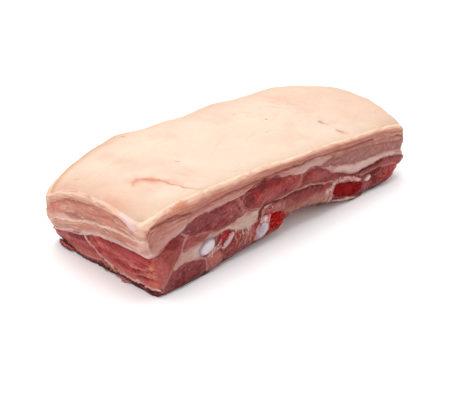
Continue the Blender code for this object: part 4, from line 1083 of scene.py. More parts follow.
def rind_tissue(x, y):
    """The rind's skin side, by the plan."""
    tissue = Tissue(x, y)
    tissue.ribbon(("rind cream", "rind cream"), 0 * x)
    away = {"left": x - LEFT_TOP, "right": RIGHT_END - x, "front": y, "back": WIDTH - y}
    # Towards the edges the rind is warmer and darker; the tan band along the back is painted shade.
    for name, strength, within, edges, along in RIND_RIMS:
        nearest = np.min([away[edge] for edge in edges], axis=0)
        amount = strength * smooth_step(*within, nearest)
        tissue.cover(name, amount * smooth_step(*along, x) if along else amount)
    for name, strength, size, seed, shows in RIND_CLOUDS:
        tissue.flecks(name, strength, *shows, layered_noise((x, y), size, seed))

    scratches = smooth_step(0.42, 0.75, fibres(x, y, *SCRATCHES))
    scratches *= smooth_step(0.0, 0.5, layered_noise((x, y), *SCRATCHED))
    tissue.cover("rind tan", 0.3 * scratches)
    tissue.flecks("rind edge", 0.3, 0.5, 0.85, fibres(x, y, *WIPES))
    pores = smooth_step(0.55, 0.8, layered_noise((x, y), *PORES))
    pores *= smooth_step(0.1, 0.5, layered_noise((x, y), *PORED)) * smooth_step(*PORED_ALONG, x)
    tissue.cover("rind tan", 0.5 * pores)
    tissue.height -= 0.1 * (scratches + pores)
    for mottle in RIND_MOTTLES:
        tissue.mottle((x, y), *mottle)
    for mark in RIND_MARKS:
        tissue.line(*mark)
    tissue.height += 0.55 * layered_noise((x, y), *RIND_SWELLS) + 0.12 * layered_noise((x, y), *RIND_DIMPLES)
    tissue.colour = lit(tissue.colour, RIND_LIGHT)
    return tissue


# Blocks


def boundary_of(shape):
    return [edge for edge in shape.edges if edge.is_boundary]


def upright_edges(shape):
    return [edge for edge in shape.edges if abs(edge.verts[0].co.z - edge.verts[1].co.z) > STEEP]


def sheet(columns, step):
    """A unit square whose edge is divided into the given columns, and its inside once every few columns."""
    made = bmesh.new()
    inner = (columns[0] // step, columns[1] // step)
    bmesh.ops.create_grid(made, x_segments=inner[0], y_segments=inner[1], size=0.5)
    bmesh.ops.translate(made, verts=made.verts, vec=(0.5, 0.5, 0))
    if step == 1:
        return made
    rim = boundary_of(made)
    grown = bmesh.ops.extrude_edge_only(made, edges=rim)["geom"]
    outer = {item for item in grown if isinstance(item, bmesh.types.BMVert)}
    for vert in made.verts:
        if vert not in outer:
            vert.co.x = SHEET_INSET[0] + vert.co.x * (1 - 2 * SHEET_INSET[0])
            vert.co.y = SHEET_INSET[1] + vert.co.y * (1 - 2 * SHEET_INSET[1])
    bmesh.ops.subdivide_edges(made, edges=boundary_of(made), cuts=step - 1)
    bmesh.ops.triangulate(made, faces=made.faces)
    return made


def unit_block(columns, rows, lid_step, floor_step):
    """A cube from 0 to 1 with finely divided walls, and a lid and floor as fine as they need to be."""
    block = sheet(columns, floor_step)
    grown = bmesh.ops.extrude_edge_only(block, edges=boundary_of(block))["geom"]
    upper = [item for item in grown if isinstance(item, bmesh.types.BMVert)]
    bmesh.ops.translate(block, verts=upper, vec=(0, 0, 1))
    bmesh.ops.subdivide_edges(block, edges=upright_edges(block), cuts=rows - 1, use_grid_fill=True)
    lid = sheet(columns, lid_step)
    bmesh.ops.translate(lid, verts=lid.verts, vec=(0, 0, 1))
    joined = bpy.data.meshes.new("lid")
    lid.to_mesh(joined)
    lid.free()
    block.from_mesh(joined)
    bpy.data.meshes.remove(joined)
    bmesh.ops.remove_doubles(block, verts=block.verts, dist=ON_SIDE)
    bmesh.ops.recalc_face_normals(block, faces=block.faces)
    return block


def placed_mesh(name, block, arrange):
    """Turns a unit block into a finished mesh: arrange gives its places in millimetres and its tissue."""
    mesh = bpy.data.meshes.new(name)
    block.to_mesh(mesh)
    block.free()
    flat = np.empty(len(mesh.vertices) * 3, np.float32)
    mesh.vertices.foreach_get("co", flat)
    u, v, w = flat.reshape(-1, 3).T.astype(float)
    (x, y, z), colour, wet = arrange(u, v, w)
    places = np.column_stack([x + FOOT[0], y + FOOT[1], np.maximum(z, 0)]) * MM
    mesh.vertices.foreach_set("co", places.astype(np.float32).ravel())
    painted = mesh.attributes.new("tissue", "FLOAT_COLOR", "POINT")
    rgba = np.column_stack([np.clip(colour, 0, 1), np.ones(len(u))])
    painted.data.foreach_set("color", rgba.astype(np.float32).ravel())
    moist = mesh.attributes.new("moist", "FLOAT", "POINT")
    moist.data.foreach_set("value", wet.astype(np.float32))
    mesh.shade_smooth()
    mesh.update()
    made = bpy.data.objects.new(name, mesh)
    bpy.context.scene.collection.objects.link(made)
    return made


def rounded_corners(along, v, z, x, y):
    """Draws everything close to the slab's upright corners in both ways, more so towards the top."""
    away = np.maximum(np.minimum(along, 1 - along) * LENGTH, np.minimum(v, 1 - v) * WIDTH)
    cut = curve(CORNER_CUT, z) * (1 - FAR_CORNERS_SHARPER * np.maximum(along, v))
    drawn_in = cut * np.clip(1 - away / curve(CORNER_REACH, z), 0, 1) ** 2
    return x + drawn_in * np.sign(0.5 - along), y + drawn_in * np.sign(0.5 - v)


def swelling(y, z):
    """The sag of the soft layers at the back of the left cut end, below the rind."""
    return SWELL * smooth_step(*SWELL_ALONG, y) * np.exp(-(((z - SWELL_HEIGHT) / SWELL_REACH) ** 2))


def dressed_walls(name, u, v, share, x, y, z, bulge):
    """Tissue on the four walls of a block, and the walls drawn out by its relief."""
    colour = np.tile(shade(SAWN_SHADES[name][-1]), (len(u), 1))
    sums = np.zeros((len(u), 3))
    wet, count = np.zeros(len(u)), np.zeros(len(u))
    walls = {"front": v < ON_SIDE, "left": u < ON_SIDE, "back": v > 1 - ON_SIDE, "right": u > 1 - ON_SIDE}
    upper, lower = LAYERS[name]["upper"], LAYERS[name]["lower"]
    depth = bpy.context.scene.slab_sizes.relief
    new_x, new_y = x.copy(), y.copy()
    for side, on_wall in walls.items():
        if not on_wall.any():
            continue
        a, b, c, part = x[on_wall], y[on_wall], z[on_wall], share[on_wall]
        is_sawn = side in ("front", "back")
        if side in ("back", "right"):
            # The hidden faces carry the marks of those that show, at the same depth in their layer.
            shown = levels(a, 0 * a) if is_sawn else levels(0 * b + LEFT_TOP, b)
            c = shown[lower] + (shown[upper] - shown[lower]) * part
        tissue = cut_tissue("sawn", name, part, a, c) if is_sawn else cut_tissue("end", name, part, b, c)
        sums[on_wall] += tissue.colour
        count[on_wall] += 1
        wet[on_wall] = tissue.lean
        out = depth * (tissue.height + bulge * 4 * part * (1 - part))
        if side == "left":
            drawn_in = smooth_step(*BACK_FOOT_ALONG, b) * smooth_step(*BACK_FOOT_HEIGHT, c)
            out = out + swelling(b, c) - BACK_FOOT_DRAWN_IN * drawn_in
        out = out + curve(FOOT_SPREAD, c)
        moved = new_y if is_sawn else new_x
        moved[on_wall] += out if side in ("back", "right") else -out
    on_any = count > 0
    colour[on_any] = sums[on_any] / count[on_any][:, None]
    return colour, wet, new_x, new_y


def arranged_layer(name):
    """One layer of lean or fat between its two levels, with the bare membrane under the lowest."""
    layer = LAYERS[name]
    upper, lower = layer["upper"], layer["lower"]

    def arrange(u, v, w):
        heights = levels(*plan(u, v))
        z = heights[lower] + (heights[upper] - heights[lower]) * w
        x, y = placed(u, v, z)
        colour, wet, x, y = dressed_walls(name, u, v, w, x, y, z, layer["bulge"])
        if name == "middle_fat":
            x, y = sink_pockets(u, v, z, x, y)
        x, y = rounded_corners(u, v, z, x, y)
        if lower == UNDERSIDE:
            under = (w < ON_SIDE) & (np.maximum(np.abs(u - 0.5), np.abs(v - 0.5)) < 0.5 - ON_SIDE)
            lumps = layered_noise((x[under], y[under]), *UNDERSIDE_LUMPS)[:, None]
            colour[under] = UNDERSIDE_TONE * shade("fat membrane") * (1 + 0.15 * lumps)
        return (x, y, z), colour, wet

    return arrange


def sink_pockets(u, v, z, x, y):
    """Draws the middle fat's walls in behind the two pale muscles."""
    plan_x, plan_y = plan(u, v)
    sink = np.zeros(len(u))
    near_u = np.clip((plan_x - LEFT_TOP) / (curve(NEAR_MUSCLE_TIP, plan_y) - LEFT_TOP), 0, 1)
    far_u = np.clip((plan_x - FAR_MUSCLE_TIP) / (RIGHT_END - FAR_MUSCLE_TIP), 0, 1)
    for course, along in ((near_muscle_course, near_u), (far_muscle_course, far_u)):
        _, high, low, fullness = course(along, v)
        half = np.maximum((high - low) / 2 * fullness, MUSCLE_EDGE / 2)
        inside = half - np.abs(z - (high + low) / 2)
        here = (along > 0) & (along < 1) if course is far_muscle_course else along < 1
        reach = here | (course is far_muscle_course) & (plan_x > RIGHT_END - ON_SIDE)
        sink = np.maximum(sink, POCKET_DEPTH * smooth_step(0, POCKET_EDGE, inside) * reach)
    return x - sink * outward(u), y - sink * outward(v)


def arranged_muscle(course, inner_end):
    """A pale muscle along its course, standing a little out of the cut faces."""

    def arrange(u, v, w):
        plan_x, high, low, fullness = course(u, v)
        half = np.maximum((high - low) / 2 * fullness, MUSCLE_EDGE / 2)
        z = (high + low) / 2 + half * (2 * w - 1)
        along = (plan_x - LEFT_TOP) / LENGTH
        x, y = placed(along, v, z)
        heights = levels(plan_x, WIDTH * v)
        share = (z - heights[LEAN_TOP]) / (heights[STREAK] - heights[LEAN_TOP])
        wall_u = np.where(np.abs(u - inner_end) < ON_SIDE, 0.5, u)
        colour, wet, x, y = dressed_walls("middle_fat", wall_u, v, share, x, y, z, 0)
        out = MUSCLE_PROUD * (2 * np.sqrt(np.clip(w * (1 - w), 0, 1)) - 0.5)
        x, y = rounded_corners(along, v, z, x + out * outward(wall_u), y + out * outward(v))
        return (x, y, z), colour, wet

    return arrange


def carried_lid(u, v, lid, plain_x, plain_y, x, y):
    """Carries the rind's skin side along with the relief of its walls, fading inwards."""
    shift = np.column_stack([x - plain_x, y - plain_y])
    on_rim = lid & (np.maximum(np.abs(u - 0.5), np.abs(v - 0.5)) > 0.5 - ON_SIDE)
    inner = np.flatnonzero(lid & ~on_rim)
    total, weights, nearest = 0, 0, np.inf
    for is_wall, along, away in (
        (u < ON_SIDE, v, u * LENGTH),
        (u > 1 - ON_SIDE, v, (1 - u) * LENGTH),
        (v < ON_SIDE, u, v * WIDTH),
        (v > 1 - ON_SIDE, u, (1 - v) * WIDTH),
    ):
        rim = np.flatnonzero(lid & is_wall)
        rim = rim[np.argsort(along[rim])]
        moved = np.column_stack([np.interp(along[inner], along[rim], shift[rim, axis]) for axis in (0, 1)])
        weight = (1 / (away[inner] + 0.05) ** 2)[:, None]
        total = total + weight * moved
        weights = weights + weight
        nearest = np.minimum(nearest, away[inner])
    carried = total / weights * np.exp(-nearest / LID_FADE)[:, None]
    x[inner] += carried[:, 0]
    y[inner] += carried[:, 1]
    return x, y


def rim_lift(u, v):
    """How much the rind curls up along its back and right edges, and droops at its two left corners."""
    x, y = plan(u, v)
    back = curve(BACK_RIM_LIFT, x) * smooth_step(BACK_RIM_REACH, 0, WIDTH - y)
    right = curve(RIGHT_RIM_LIFT, y) * smooth_step(RIGHT_RIM_REACH, 0, RIGHT_END - x)
    droop = sum(by * smooth_step(*across, y) * smooth_step(*along, x) for by, across, along in CORNER_DROOPS)
    return np.maximum(back, right) - droop


def edge_radii(u, v, x, y):
    """Radius of the rind's top edge, uneven, and sharper at the far edges and the left one."""
    radius = bpy.context.scene.slab_sizes.edge_radius / MM
    radius = radius * (1 + EDGE_UNEVEN * noise((x, y), *EDGE_WAVES))
    radius = radius * (1 - FAR_EDGES_SHARPER * np.maximum(u, v))
    return radius * (1 - LEFT_EDGE_SHARPER * smooth_step(LEFT_EDGE_SHARE, 0, u))


def rolled_edge(u, v, lid, from_top, thickness, radius):
    """How far the rind is drawn in along the slab, across it, and down, to make a rounded top edge."""
    quarter = math.pi / 4
    arc = quarter * radius
    side_x = np.minimum(u, 1 - u) * LENGTH
    side_y = np.minimum(v, 1 - v) * WIDTH
    from_side = np.minimum(side_x, side_y)
    turned = np.where(lid, quarter + np.clip(from_side / radius, 0, quarter),
                      quarter - np.clip(from_top / radius, 0, quarter))
    inward = radius * (1 - np.cos(turned))
    on_lid = (inward - np.clip(from_side, 0, arc)) * np.exp(-np.maximum(from_side - arc, 0) / EDGE_PULL)
    inward = np.where(lid, on_lid, inward)
    drop = radius * (1 - np.sin(turned))
    past = np.maximum(from_top - arc, 0) / np.maximum(thickness - arc, 0.1)
    on_wall = np.where(past > 0, radius * (1 - quarter) * (1 - past), drop - np.minimum(from_top, arc))
    drop = np.where(lid, drop, on_wall)
    pull_x = inward * np.where(lid, side_x <= side_y, np.minimum(u, 1 - u) < ON_SIDE) * np.sign(0.5 - u)
    pull_y = inward * np.where(lid, side_y <= side_x, np.minimum(v, 1 - v) < ON_SIDE) * np.sign(0.5 - v)
    return pull_x, pull_y, drop, from_side


def arrange_rind(u, v, w):
    """The rind with its fat: walls like the other layers' and a finely divided skin side."""
    heights = levels(*plan(u, v))
    top, low = heights[TOP], heights[RIND_FAT]
    z = low + (top - low) * w
    x, y = placed(u, v, z)
    colour, wet, x, y = dressed_walls("rind_fat_cap", u, v, w, x, y, z, LAYERS["rind_fat_cap"]["bulge"])
    lid = w > 1 - ON_SIDE
    x, y = carried_lid(u, v, lid, *placed(u, v, z), x, y)
    x, y = rounded_corners(u, v, z, x, y)
    skin = rind_tissue(x[lid], y[lid])
    wet[lid] = 0
    inner = lid & (np.minimum(u, 1 - u) > ON_SIDE) & (np.minimum(v, 1 - v) > ON_SIDE)
    colour[inner] = skin.colour[inner[lid]]
    pull_x, pull_y, drop, from_side = rolled_edge(u, v, lid, top - z, top - low, edge_radii(u, v, x, y))
    z = z - drop + rim_lift(u, v) * w
    relief = bpy.context.scene.slab_sizes.relief
    z[lid] += skin.height * relief * smooth_step(0, RELIEF_FADE, from_side[lid])
    return (x + pull_x, y + pull_y, z), colour, wet


def arranged_rib(name):
    """A rib or cartilage run back from the sawn face, with a rounded section and grain on its ends."""
    size = RIBS[name]

    def arrange(u, v, w):
        a, b = 2 * u - 1, 2 * v - 1
        disc_a, disc_b = a * np.sqrt(1 - b * b / 2), b * np.sqrt(1 - a * a / 2)
        radius, angle = np.hypot(disc_a, disc_b), np.arctan2(disc_b, disc_a)
        power = 2 / size["square"]
        around = (3 * np.cos(angle), 3 * np.sin(angle))
        wide = 1 + size["ragged"] * layered_noise(around, 1.0, RIB_SEED + list(RIBS).index(name))
        across, up = (half * radius * wide * np.sign(way) * np.abs(way) ** power
                      for half, way in zip(size["half"], (np.cos(angle), np.sin(angle))))
        across, up = turned(across, up, math.radians(size["tilt"]))
        x, z = size["centre"][0] + across, size["centre"][1] + up
        relative = z / top_height(x, 0 * x)
        near = front_face(relative)
        far = back_face(x, relative) if size["run"] == 1 else size["run"] * WIDTH + 0 * x
        y = far + (near - far) * w
        end = marrow_end if "red" in size else cartilage_end
        colour, height = end(size, x, z, radius)
        face = (w > 1 - ON_SIDE).astype(float) - (w < ON_SIDE) * (size["run"] == 1)
        rounding = END_ROUNDING_GROWN_IN if size.get("grown_in") else END_ROUNDING
        y = y - face * (RIB_STANDS_OUT + height - rounding * smooth_step(0.7, 1.0, radius) ** 2)
        side = np.abs(face) < 0.5
        colour[side] = shade("bone rim")
        return (x, y, z), lit(colour, CUT_LIGHT), np.full(len(u), WET)

    return arrange


def marrow_end(size, x, z, radius):
    """Red cancellous marrow inside a thin paler rim of cortical bone."""
    grains = layered_noise((x, z), *MARROW_GRAIN)
    lumps = noise((x, z), *MARROW_LUMPS)
    colour = shade("bone marrow") * size["red"] * np.ones((len(x), 1))
    colour = blended(colour, "bone marrow_dark", 0.9 * smooth_step(0.0, -0.7, grains + 0.5 * lumps))
    least = size["light_from"]
    light = size["light"] * smooth_step(least, least + 0.55, grains - 0.3 * lumps)
    colour = blended(colour, "bone marrow_light", light)
    beads = smooth_step(0.45, 0.75, layered_noise((x, z), *MARROW_BEADS))
    rim = smooth_step(0.93, 0.99, radius) * (0.3 + 0.7 * noise((x, z), *MARROW_RIM))
    pale = np.clip(rim + 0.5 * beads * smooth_step(size["beads_from"], 0.95, radius), 0, 0.85)
    colour = blended(colour, "bone rim", pale)
    return colour, GRAIN_RISE * grains + LUMPS_RISE * lumps + BEADS_RISE * beads


def cartilage_end(size, x, z, radius):
    """Smooth bluish hyaline cartilage, darker towards its edge."""
    colour = shade(size["shade"]) * np.ones((len(x), 1))
    edge = EDGE_GROWN_IN if size.get("grown_in") else 1
    colour = blended(colour, "bone cartilage_edge", edge * smooth_step(0.7, 1.0, radius))
    if size.get("grown_in"):
        blue = smooth_step(-0.4, 0.4, layered_noise((x, z), *CARTILAGE_BRUISES))
        colour = blended(colour * BLOODIED_TONE, "bone cartilage_blue", size["blue"] * blue)
        torn = layered_noise((x, z), *CARTILAGE_TEARS)
        smear = smooth_step(0.0, 0.45, 0.9 * torn + 0.9 * (radius - 0.85))
        colour = blended(colour, "lean crimson", SMEAR * smear)
    colour = colour * (1 + 0.08 * layered_noise((x, z), *CARTILAGE_CLOUDS)[:, None])
    return colour, CARTILAGE_CROWN * (1 - radius**2) + 0.12 * noise((x, z), *CARTILAGE_PITS)


# Materials


def add_node(tree, kind, inputs=None, **settings):
    """Adds a node with its settings, and sets or links each of its inputs."""
    node = tree.nodes.new(kind)
    for name, value in settings.items():
        setattr(node, name, value)
    for name, value in (inputs or {}).items():
        if isinstance(value, bpy.types.NodeSocket):
            tree.links.new(value, node.inputs[name])
        else:
            node.inputs[name].default_value = value
    return node


# Each material: its grain and how deep that is, both in millimetres, how strongly the grain shows in the
# colour, the roughness of the driest and the wettest places, how much light soaks in, and how shiny it is.
FINISHES = {
    # Scalded pork skin: matt, finely pored, with a soft waxy glow.
    "scalded_pork_rind": {"grain": 0.9, "depth": 0.10, "tone": 0.05,
                          "rough": (0.55, 0.45), "soak": 0.12, "shine": 0.1},
    # Sliced back fat: greasy, smooth and faintly streaked.
    "sliced_back_fat": {"grain": 1.4, "depth": 0.10, "tone": 0.06,
                        "rough": (0.45, 0.36), "soak": 0.12, "shine": 0.3},
    # Thin cut lean between fat: moist, with short fibres.
    "cut_streaky_lean": {"grain": 1.1, "depth": 0.14, "tone": 0.10,
                         "rough": (0.45, 0.32), "soak": 0.08, "shine": 0.3},
    # Pale cut muscle: moist and closely grained.
    "cut_pale_muscle": {"grain": 1.2, "depth": 0.14, "tone": 0.14,
                        "rough": (0.45, 0.32), "soak": 0.08, "shine": 0.3},
    # Deep red cut muscle: wet, with coarse bundles of fibre.
    "cut_red_lean": {"grain": 1.0, "depth": 0.18, "tone": 0.18,
                     "rough": (0.42, 0.28), "soak": 0.07, "shine": 0.3},
    # Soft fat between muscles: smooth and greasy.
    "sliced_seam_fat": {"grain": 1.2, "depth": 0.10, "tone": 0.07,
                        "rough": (0.42, 0.32), "soak": 0.1, "shine": 0.3},
    # Wet granular marrow in sawn bone: coarse and glistening.
    "sawn_rib_bone": {"grain": 0.8, "depth": 0.2, "tone": 0.15,
                      "rough": (0.3, 0.2), "soak": 0.02, "shine": 0.05},
    # Hyaline cartilage: glassy smooth.
    "sliced_cartilage": {"grain": 2.0, "depth": 0.04, "tone": 0.04,
                         "rough": (0.3, 0.22), "soak": 0.15, "shine": 0.3},
}
PORES_PER_GRAIN = 2.6
GLOSS_SPREAD = 0.16
FLESH_IOR = 1.38
# How far each colour of light soaks in: these shares of this length.
SOAKING, SOAKING_DEPTH = (1.0, 0.35, 0.25), 1.5 * MM


def tissue_material(name):
    """Flesh, fat, skin or bone: its painted tissue with fine grain, moist gloss and some soaking light."""
    made = bpy.data.materials.get(name)
    if made:
        return made
    finish = FINISHES[name]
    made = bpy.data.materials.new(name)
    made.use_nodes = True
    tree = made.node_tree
    tree.nodes.clear()
    place = add_node(tree, "ShaderNodeTexCoord").outputs["Object"]
    painted = add_node(tree, "ShaderNodeAttribute", attribute_name="tissue").outputs["Color"]
    moist = add_node(tree, "ShaderNodeAttribute", attribute_name="moist").outputs["Fac"]
    scale = 1 / (finish["grain"] * MM)
    grain = add_node(tree, "ShaderNodeTexNoise", {"Vector": place, "Scale": scale, "Detail": 3.0,
                                                  "Roughness": 0.6}).outputs["Fac"]
    pores = add_node(tree, "ShaderNodeTexNoise", {"Vector": place, "Scale": scale * PORES_PER_GRAIN,
                                                  "Detail": 2.0}).outputs["Fac"]
    tone = add_node(tree, "ShaderNodeMapRange", {"Value": grain, "From Min": 0.25, "From Max": 0.75,
                                                 "To Min": 1 - finish["tone"], "To Max": 1 + finish["tone"]})
    toned = add_node(tree, "ShaderNodeVectorMath", {0: painted, 1: tone.outputs["Result"]},
                     operation="MULTIPLY")
    gloss = add_node(tree, "ShaderNodeMapRange", {"Value": moist, "To Min": finish["rough"][0],
                                                  "To Max": finish["rough"][1]})
    uneven = add_node(tree, "ShaderNodeMath", {0: pores, 1: GLOSS_SPREAD, 2: gloss.outputs["Result"]},
                      operation="MULTIPLY_ADD")
    depth = finish["depth"] * MM
    coarse = add_node(tree, "ShaderNodeBump", {"Height": grain, "Strength": 1.0, "Distance": depth})
    fine = add_node(tree, "ShaderNodeBump", {"Height": pores, "Strength": 1.0,
                                             "Normal": coarse.outputs["Normal"],
                                             "Distance": depth / PORES_PER_GRAIN})
    shader = add_node(tree, "ShaderNodeBsdfPrincipled", {
        "Base Color": toned.outputs["Vector"],
        "Roughness": uneven.outputs["Value"],
        "Normal": fine.outputs["Normal"],
        "IOR": FLESH_IOR,
        "Specular IOR Level": finish["shine"],
        "Subsurface Weight": finish["soak"],
        "Subsurface Radius": SOAKING,
        "Subsurface Scale": SOAKING_DEPTH,
    })
    add_node(tree, "ShaderNodeOutputMaterial", {"Surface": shader.outputs["BSDF"]})
    return made


def piece_name(node):
    return "finished_" + node


def declare(made, finish, slot, *nodes):
    made.data.materials.append(tissue_material(finish))
    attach(made, "root")
    if nodes:
        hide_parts(*nodes)


# What a user can change


def tint(tissue, what):
    return FloatVectorProperty(name=tissue + " tint", description="Multiplies the colours of " + what,
                               default=(1, 1, 1), min=0, max=2, subtype="COLOR")


class SlabColours(bpy.types.PropertyGroup):
    rind: tint("Rind", "the rind")
    fat: tint("Fat", "fat and membranes")
    lean: tint("Lean", "the lean")
    bone: tint("Bone", "marrow and cartilage")


class SlabSizes(bpy.types.PropertyGroup):
    edge_radius: FloatProperty(name="Rind edge", description="Radius of the rind's top edge",
                               default=0.002, min=0.0005, max=0.004, unit="LENGTH")
    relief: FloatProperty(name="Relief", description="How far tissues stand out of the cut faces",
                          default=1.0, min=0, max=2, subtype="FACTOR")


class StudioLight(bpy.types.PropertyGroup):
    key: FloatProperty(name="Key light", description="Power of the large soft light", default=14.0, min=0,
                       unit="POWER")
    sky: FloatProperty(name="Fill", description="Brightness of the white surroundings", default=0.85, min=0)


# Operators


def add_layer(name, columns, lid_step, arrange):
    layer = LAYERS[name]
    block = unit_block(columns, layer["rows"], lid_step, layer.get("floor", HIDDEN_STEP))
    made = placed_mesh(piece_name(name), block, arrange)
    declare(made, layer["finish"], layer["slot"], name)


class SLAB_OT_rind(bpy.types.Operator):
    """Builds the rind with its fat cap"""
    bl_idname = "slab.rind"
    bl_label = "Rind and Fat Cap"

    def execute(self, context):
        add_layer("rind_fat_cap", RIND_COLUMNS, 1, arrange_rind)
        return {"FINISHED"}


class SLAB_OT_layers(bpy.types.Operator):
    """Builds the layers of lean and fat under the rind"""
    bl_idname = "slab.layers"
    bl_label = "Lean and Fat Layers"

    def execute(self, context):
        for name in LAYERS:
            if name != "rind_fat_cap":
                add_layer(name, WALL_COLUMNS, HIDDEN_STEP, arranged_layer(name))
        return {"FINISHED"}


class SLAB_OT_pale_muscles(bpy.types.Operator):
    """Builds the two pale muscles in the middle fat"""
    bl_idname = "slab.pale_muscles"
    bl_label = "Pale Muscles"

    def execute(self, context):
        for name, (course, inner_end) in PALE_MUSCLES.items():
            block = unit_block(MUSCLE_COLUMNS, MUSCLE_ROWS, MUSCLE_STEP, MUSCLE_STEP)
            made = placed_mesh(piece_name(name), block, arranged_muscle(course, inner_end))
            declare(made, "cut_pale_muscle", "pale_muscle", name)
        return {"FINISHED"}


class SLAB_OT_ribs(bpy.types.Operator):
    """Builds the sawn rib bones and their cartilages"""
    bl_idname = "slab.ribs"
    bl_label = "Ribs and Cartilages"

    def execute(self, context):
        for name, size in RIBS.items():
            is_bone = "red" in size
            block = unit_block(RIB_COLUMNS, RIB_ROWS, 1, 1)
            made = placed_mesh(piece_name(name), block, arranged_rib(name))
            finish = "sawn_rib_bone" if is_bone else "sliced_cartilage"
            declare(made, finish, "rib_bone" if is_bone else "rib_cartilage", name)
        return {"FINISHED"}


def bead_balls(count):
    """As many unit balls as there are beads in a string, all in one mesh."""
    balls = bmesh.new()
    bmesh.ops.create_icosphere(balls, subdivisions=BEAD_SUBDIVISIONS, radius=1)
    one = bpy.data.meshes.new("bead")
    balls.to_mesh(one)
    for _ in range(count - 1):
        balls.from_mesh(one)
    bpy.data.meshes.remove(one)
    return balls


def placed_bead(u, v, w, x, z, half, turn, seed):
    """A lump pressed half into the sawn face, longer one way."""
    lump = 1 + 0.25 * layered_noise((3 * u, 3 * v + 5 * w), 1.0, seed)
    along, up = turned(u * half * BEAD_LONG * lump, v * half * BEAD_THIN * lump, turn)
    at_x, at_z = x + along, z + up
    y = front_face(at_z / top_height(at_x, 0 * at_x)) - BEAD_STANDS_OUT + w * half * BEAD_DEEP * lump
    return at_x, y, at_z


def arranged_beads(number, name, count, wide, course):
    """A string of beads along a course on the sawn face, each with its own place, size and turn."""
    chance = np.random.default_rng(BEAD_STRING_SEED + number)
    points = np.array(course, float)
    lengths = np.append(0, np.cumsum(np.hypot(*np.diff(points, axis=0).T)))
    places = np.sort(chance.uniform(0, lengths[-1], count))
    at_x = np.interp(places, lengths, points[:, 0]) + chance.normal(0, BEAD_STRAY * wide, count)
    at_z = np.interp(places, lengths, points[:, 1]) + chance.normal(0, BEAD_STRAY * wide, count)
    half = wide / 2 * chance.uniform(*BEAD_SIZES, count)
    turn = chance.uniform(*BEAD_TURNS, count)

    def arrange(u, v, w):
        beads = []
        for k, part in enumerate(np.split(np.stack([u, v, w]), count, axis=1)):
            beads.append(placed_bead(*part, at_x[k], at_z[k], half[k], turn[k], BEAD_SEED + k))
        x, y, z = np.concatenate(beads, axis=1)
        redder = smooth_step(0.0, 0.6, layered_noise((x, z), BEAD_CLOUDS, BEAD_CLOUD_SEED + number))
        colour = blended(np.tile(shade(name), (len(u), 1)), "lean rose", 0.5 * redder)
        return (x, y, z), lit(colour, CUT_LIGHT), np.full(len(u), WET)

    return arrange


class SLAB_OT_beads(bpy.types.Operator):
    """Builds the beads of gristle and torn fat that stand out of the sawn face"""
    bl_idname = "slab.beads"
    bl_label = "Gristle Beads"

    def execute(self, context):
        for number, (name, count, wide, course) in enumerate(BEADS):
            arrange = arranged_beads(number, name, count, wide, course)
            made = placed_mesh(f"gristle_beads_{number + 1}", bead_balls(count), arrange)
            declare(made, "sliced_seam_fat", "rib_fat")
        return {"FINISHED"}


def arranged_shred(name):
    """A thin torn flap that hangs from the left cut end, ragged and tapering at its ends."""
    size = SHREDS[name]

    def arrange(u, v, w):
        y = size["reach"][0] + (size["reach"][1] - size["reach"][0]) * u
        tapered = np.sqrt(np.clip(4 * u * (1 - u), 0, 1))
        ragged = np.abs(layered_noise((y, 0 * y), *SHRED_TEARS))
        top = np.interp(u, (0, 1), size["top"]) + 0.5 * noise((y, 0 * y), *SHRED_WAVES)
        foot = np.interp(u, (0, 1), size["foot"]) + SHRED_TORN * ragged
        z = foot + (top - foot) * (1 - (1 - w) * (0.35 + 0.65 * tapered))
        wall = placed(0 * u, np.clip(y / WIDTH, 0, 1), z)[0]
        out = size["out"] * (1 - w) ** SHRED_CURL * tapered * (1.1 - ragged)
        out = out + 0.4 * layered_noise((y, z), *SHRED_CRUMPLES)
        x = wall - out - curve(FOOT_SPREAD, z) + SHRED_ROOT - SHRED_THICKNESS * v * (0.4 + 0.6 * tapered)
        tissue = Tissue(y, z)
        tissue.ribbon(size["shades"], w + 0.2 * noise((y, z), *SHRED_WANDER))
        tissue.mottle((y, z), *SHRED_MOTTLE)
        return (x, y, z), lit(tissue.colour, CUT_LIGHT), np.full(len(u), SHRED_WET)

    return arrange


class SLAB_OT_shreds(bpy.types.Operator):
    """Builds the torn shreds of membrane along the foot of the left cut end"""
    bl_idname = "slab.shreds"
    bl_label = "Torn Membrane"

    def execute(self, context):
        for name in SHREDS:
            block = unit_block(SHRED_COLUMNS, SHRED_ROWS, 1, 1)
            made = placed_mesh(name, block, arranged_shred(name))
            declare(made, "cut_red_lean", "rib_meat")
        return {"FINISHED"}


def aimed(name, data, towards, away):
    """An object that looks at the slab from some way off."""
    centre = Vector(LOOK_POINT)
    made = bpy.data.objects.new(name, data)
    made.location = centre + Vector(towards).normalized() * away
    made.rotation_euler = (centre - made.location).to_track_quat("-Z", "Y").to_euler()
    bpy.context.scene.collection.objects.link(made)
    return made


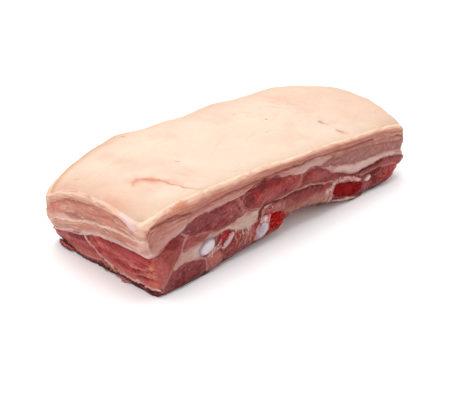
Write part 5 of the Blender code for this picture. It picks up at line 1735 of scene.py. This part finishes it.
class SLAB_OT_stage(bpy.types.Operator):
    """Sets up the floor, the soft studio light and the camera"""
    bl_idname = "slab.stage"
    bl_label = "Studio"

    def execute(self, context):
        scene = context.scene
        square = bmesh.new()
        bmesh.ops.create_grid(square, x_segments=1, y_segments=1, size=FLOOR_HALF)
        mesh = bpy.data.meshes.new("Floor")
        square.to_mesh(mesh)
        square.free()
        floor = bpy.data.objects.new("Floor", mesh)
        scene.collection.objects.link(floor)
        # Matt white paper, a little under full white.
        paper = bpy.data.materials.new("white_backdrop_paper")
        paper.use_nodes = True
        shader = paper.node_tree.nodes["Principled BSDF"]
        shader.inputs["Base Color"].default_value = (FLOOR_WHITE, FLOOR_WHITE, FLOOR_WHITE, 1)
        shader.inputs["Roughness"].default_value = FLOOR_ROUGHNESS
        mesh.materials.append(paper)

        world = bpy.data.worlds.new("Pale Surroundings")
        world.use_nodes = True
        sky = world.node_tree.nodes["Background"]
        sky.inputs["Color"].default_value = (1, 1, 1, 1)
        sky.inputs["Strength"].default_value = scene.studio_light.sky
        scene.world = world

        key = bpy.data.lights.new("Key", "AREA")
        key.shape = "RECTANGLE"
        key.size, key.size_y = KEY_SIZE, KEY_SIZE
        key.energy = scene.studio_light.key
        aimed("Key", key, KEY_TOWARDS, KEY_AWAY)

        view = bpy.data.cameras.new("Camera")
        view.lens = CAMERA_LENS
        view.sensor_width = CAMERA_SENSOR
        view.clip_start, view.clip_end = CAMERA_CLIP
        scene.camera = aimed("Camera", view, CAMERA_TOWARDS, CAMERA_AWAY)
        scene.view_settings.view_transform = "Standard"
        return {"FINISHED"}


class SLAB_PT_panel(bpy.types.Panel):
    """Lists the slab's pieces"""
    bl_label = "Pork Belly Slab"
    bl_idname = "SLAB_PT_panel"
    bl_space_type = "VIEW_3D"
    bl_region_type = "UI"
    bl_category = "Slab"

    def draw(self, context):
        for group in (context.scene.slab_colours, context.scene.slab_sizes, context.scene.studio_light):
            for name in group.__annotations__:
                self.layout.prop(group, name)
        for operator in OPERATORS:
            self.layout.operator(operator.bl_idname)


OPERATORS = (SLAB_OT_rind, SLAB_OT_layers, SLAB_OT_pale_muscles, SLAB_OT_ribs, SLAB_OT_beads,
             SLAB_OT_shreds, SLAB_OT_stage)
CLASSES = (SlabColours, SlabSizes, StudioLight, *OPERATORS, SLAB_PT_panel)


def register():
    for one in CLASSES:
        bpy.utils.register_class(one)
    bpy.types.Scene.slab_colours = PointerProperty(type=SlabColours)
    bpy.types.Scene.slab_sizes = PointerProperty(type=SlabSizes)
    bpy.types.Scene.studio_light = PointerProperty(type=StudioLight)


def unregister():
    del bpy.types.Scene.studio_light
    del bpy.types.Scene.slab_sizes
    del bpy.types.Scene.slab_colours
    for one in reversed(CLASSES):
        bpy.utils.unregister_class(one)


def main():
    register()
    bpy.ops.slab.rind()
    bpy.ops.slab.layers()
    bpy.ops.slab.pale_muscles()
    bpy.ops.slab.ribs()
    bpy.ops.slab.beads()
    bpy.ops.slab.shreds()
    bpy.ops.slab.stage()


if __name__ == "__main__":
    main()
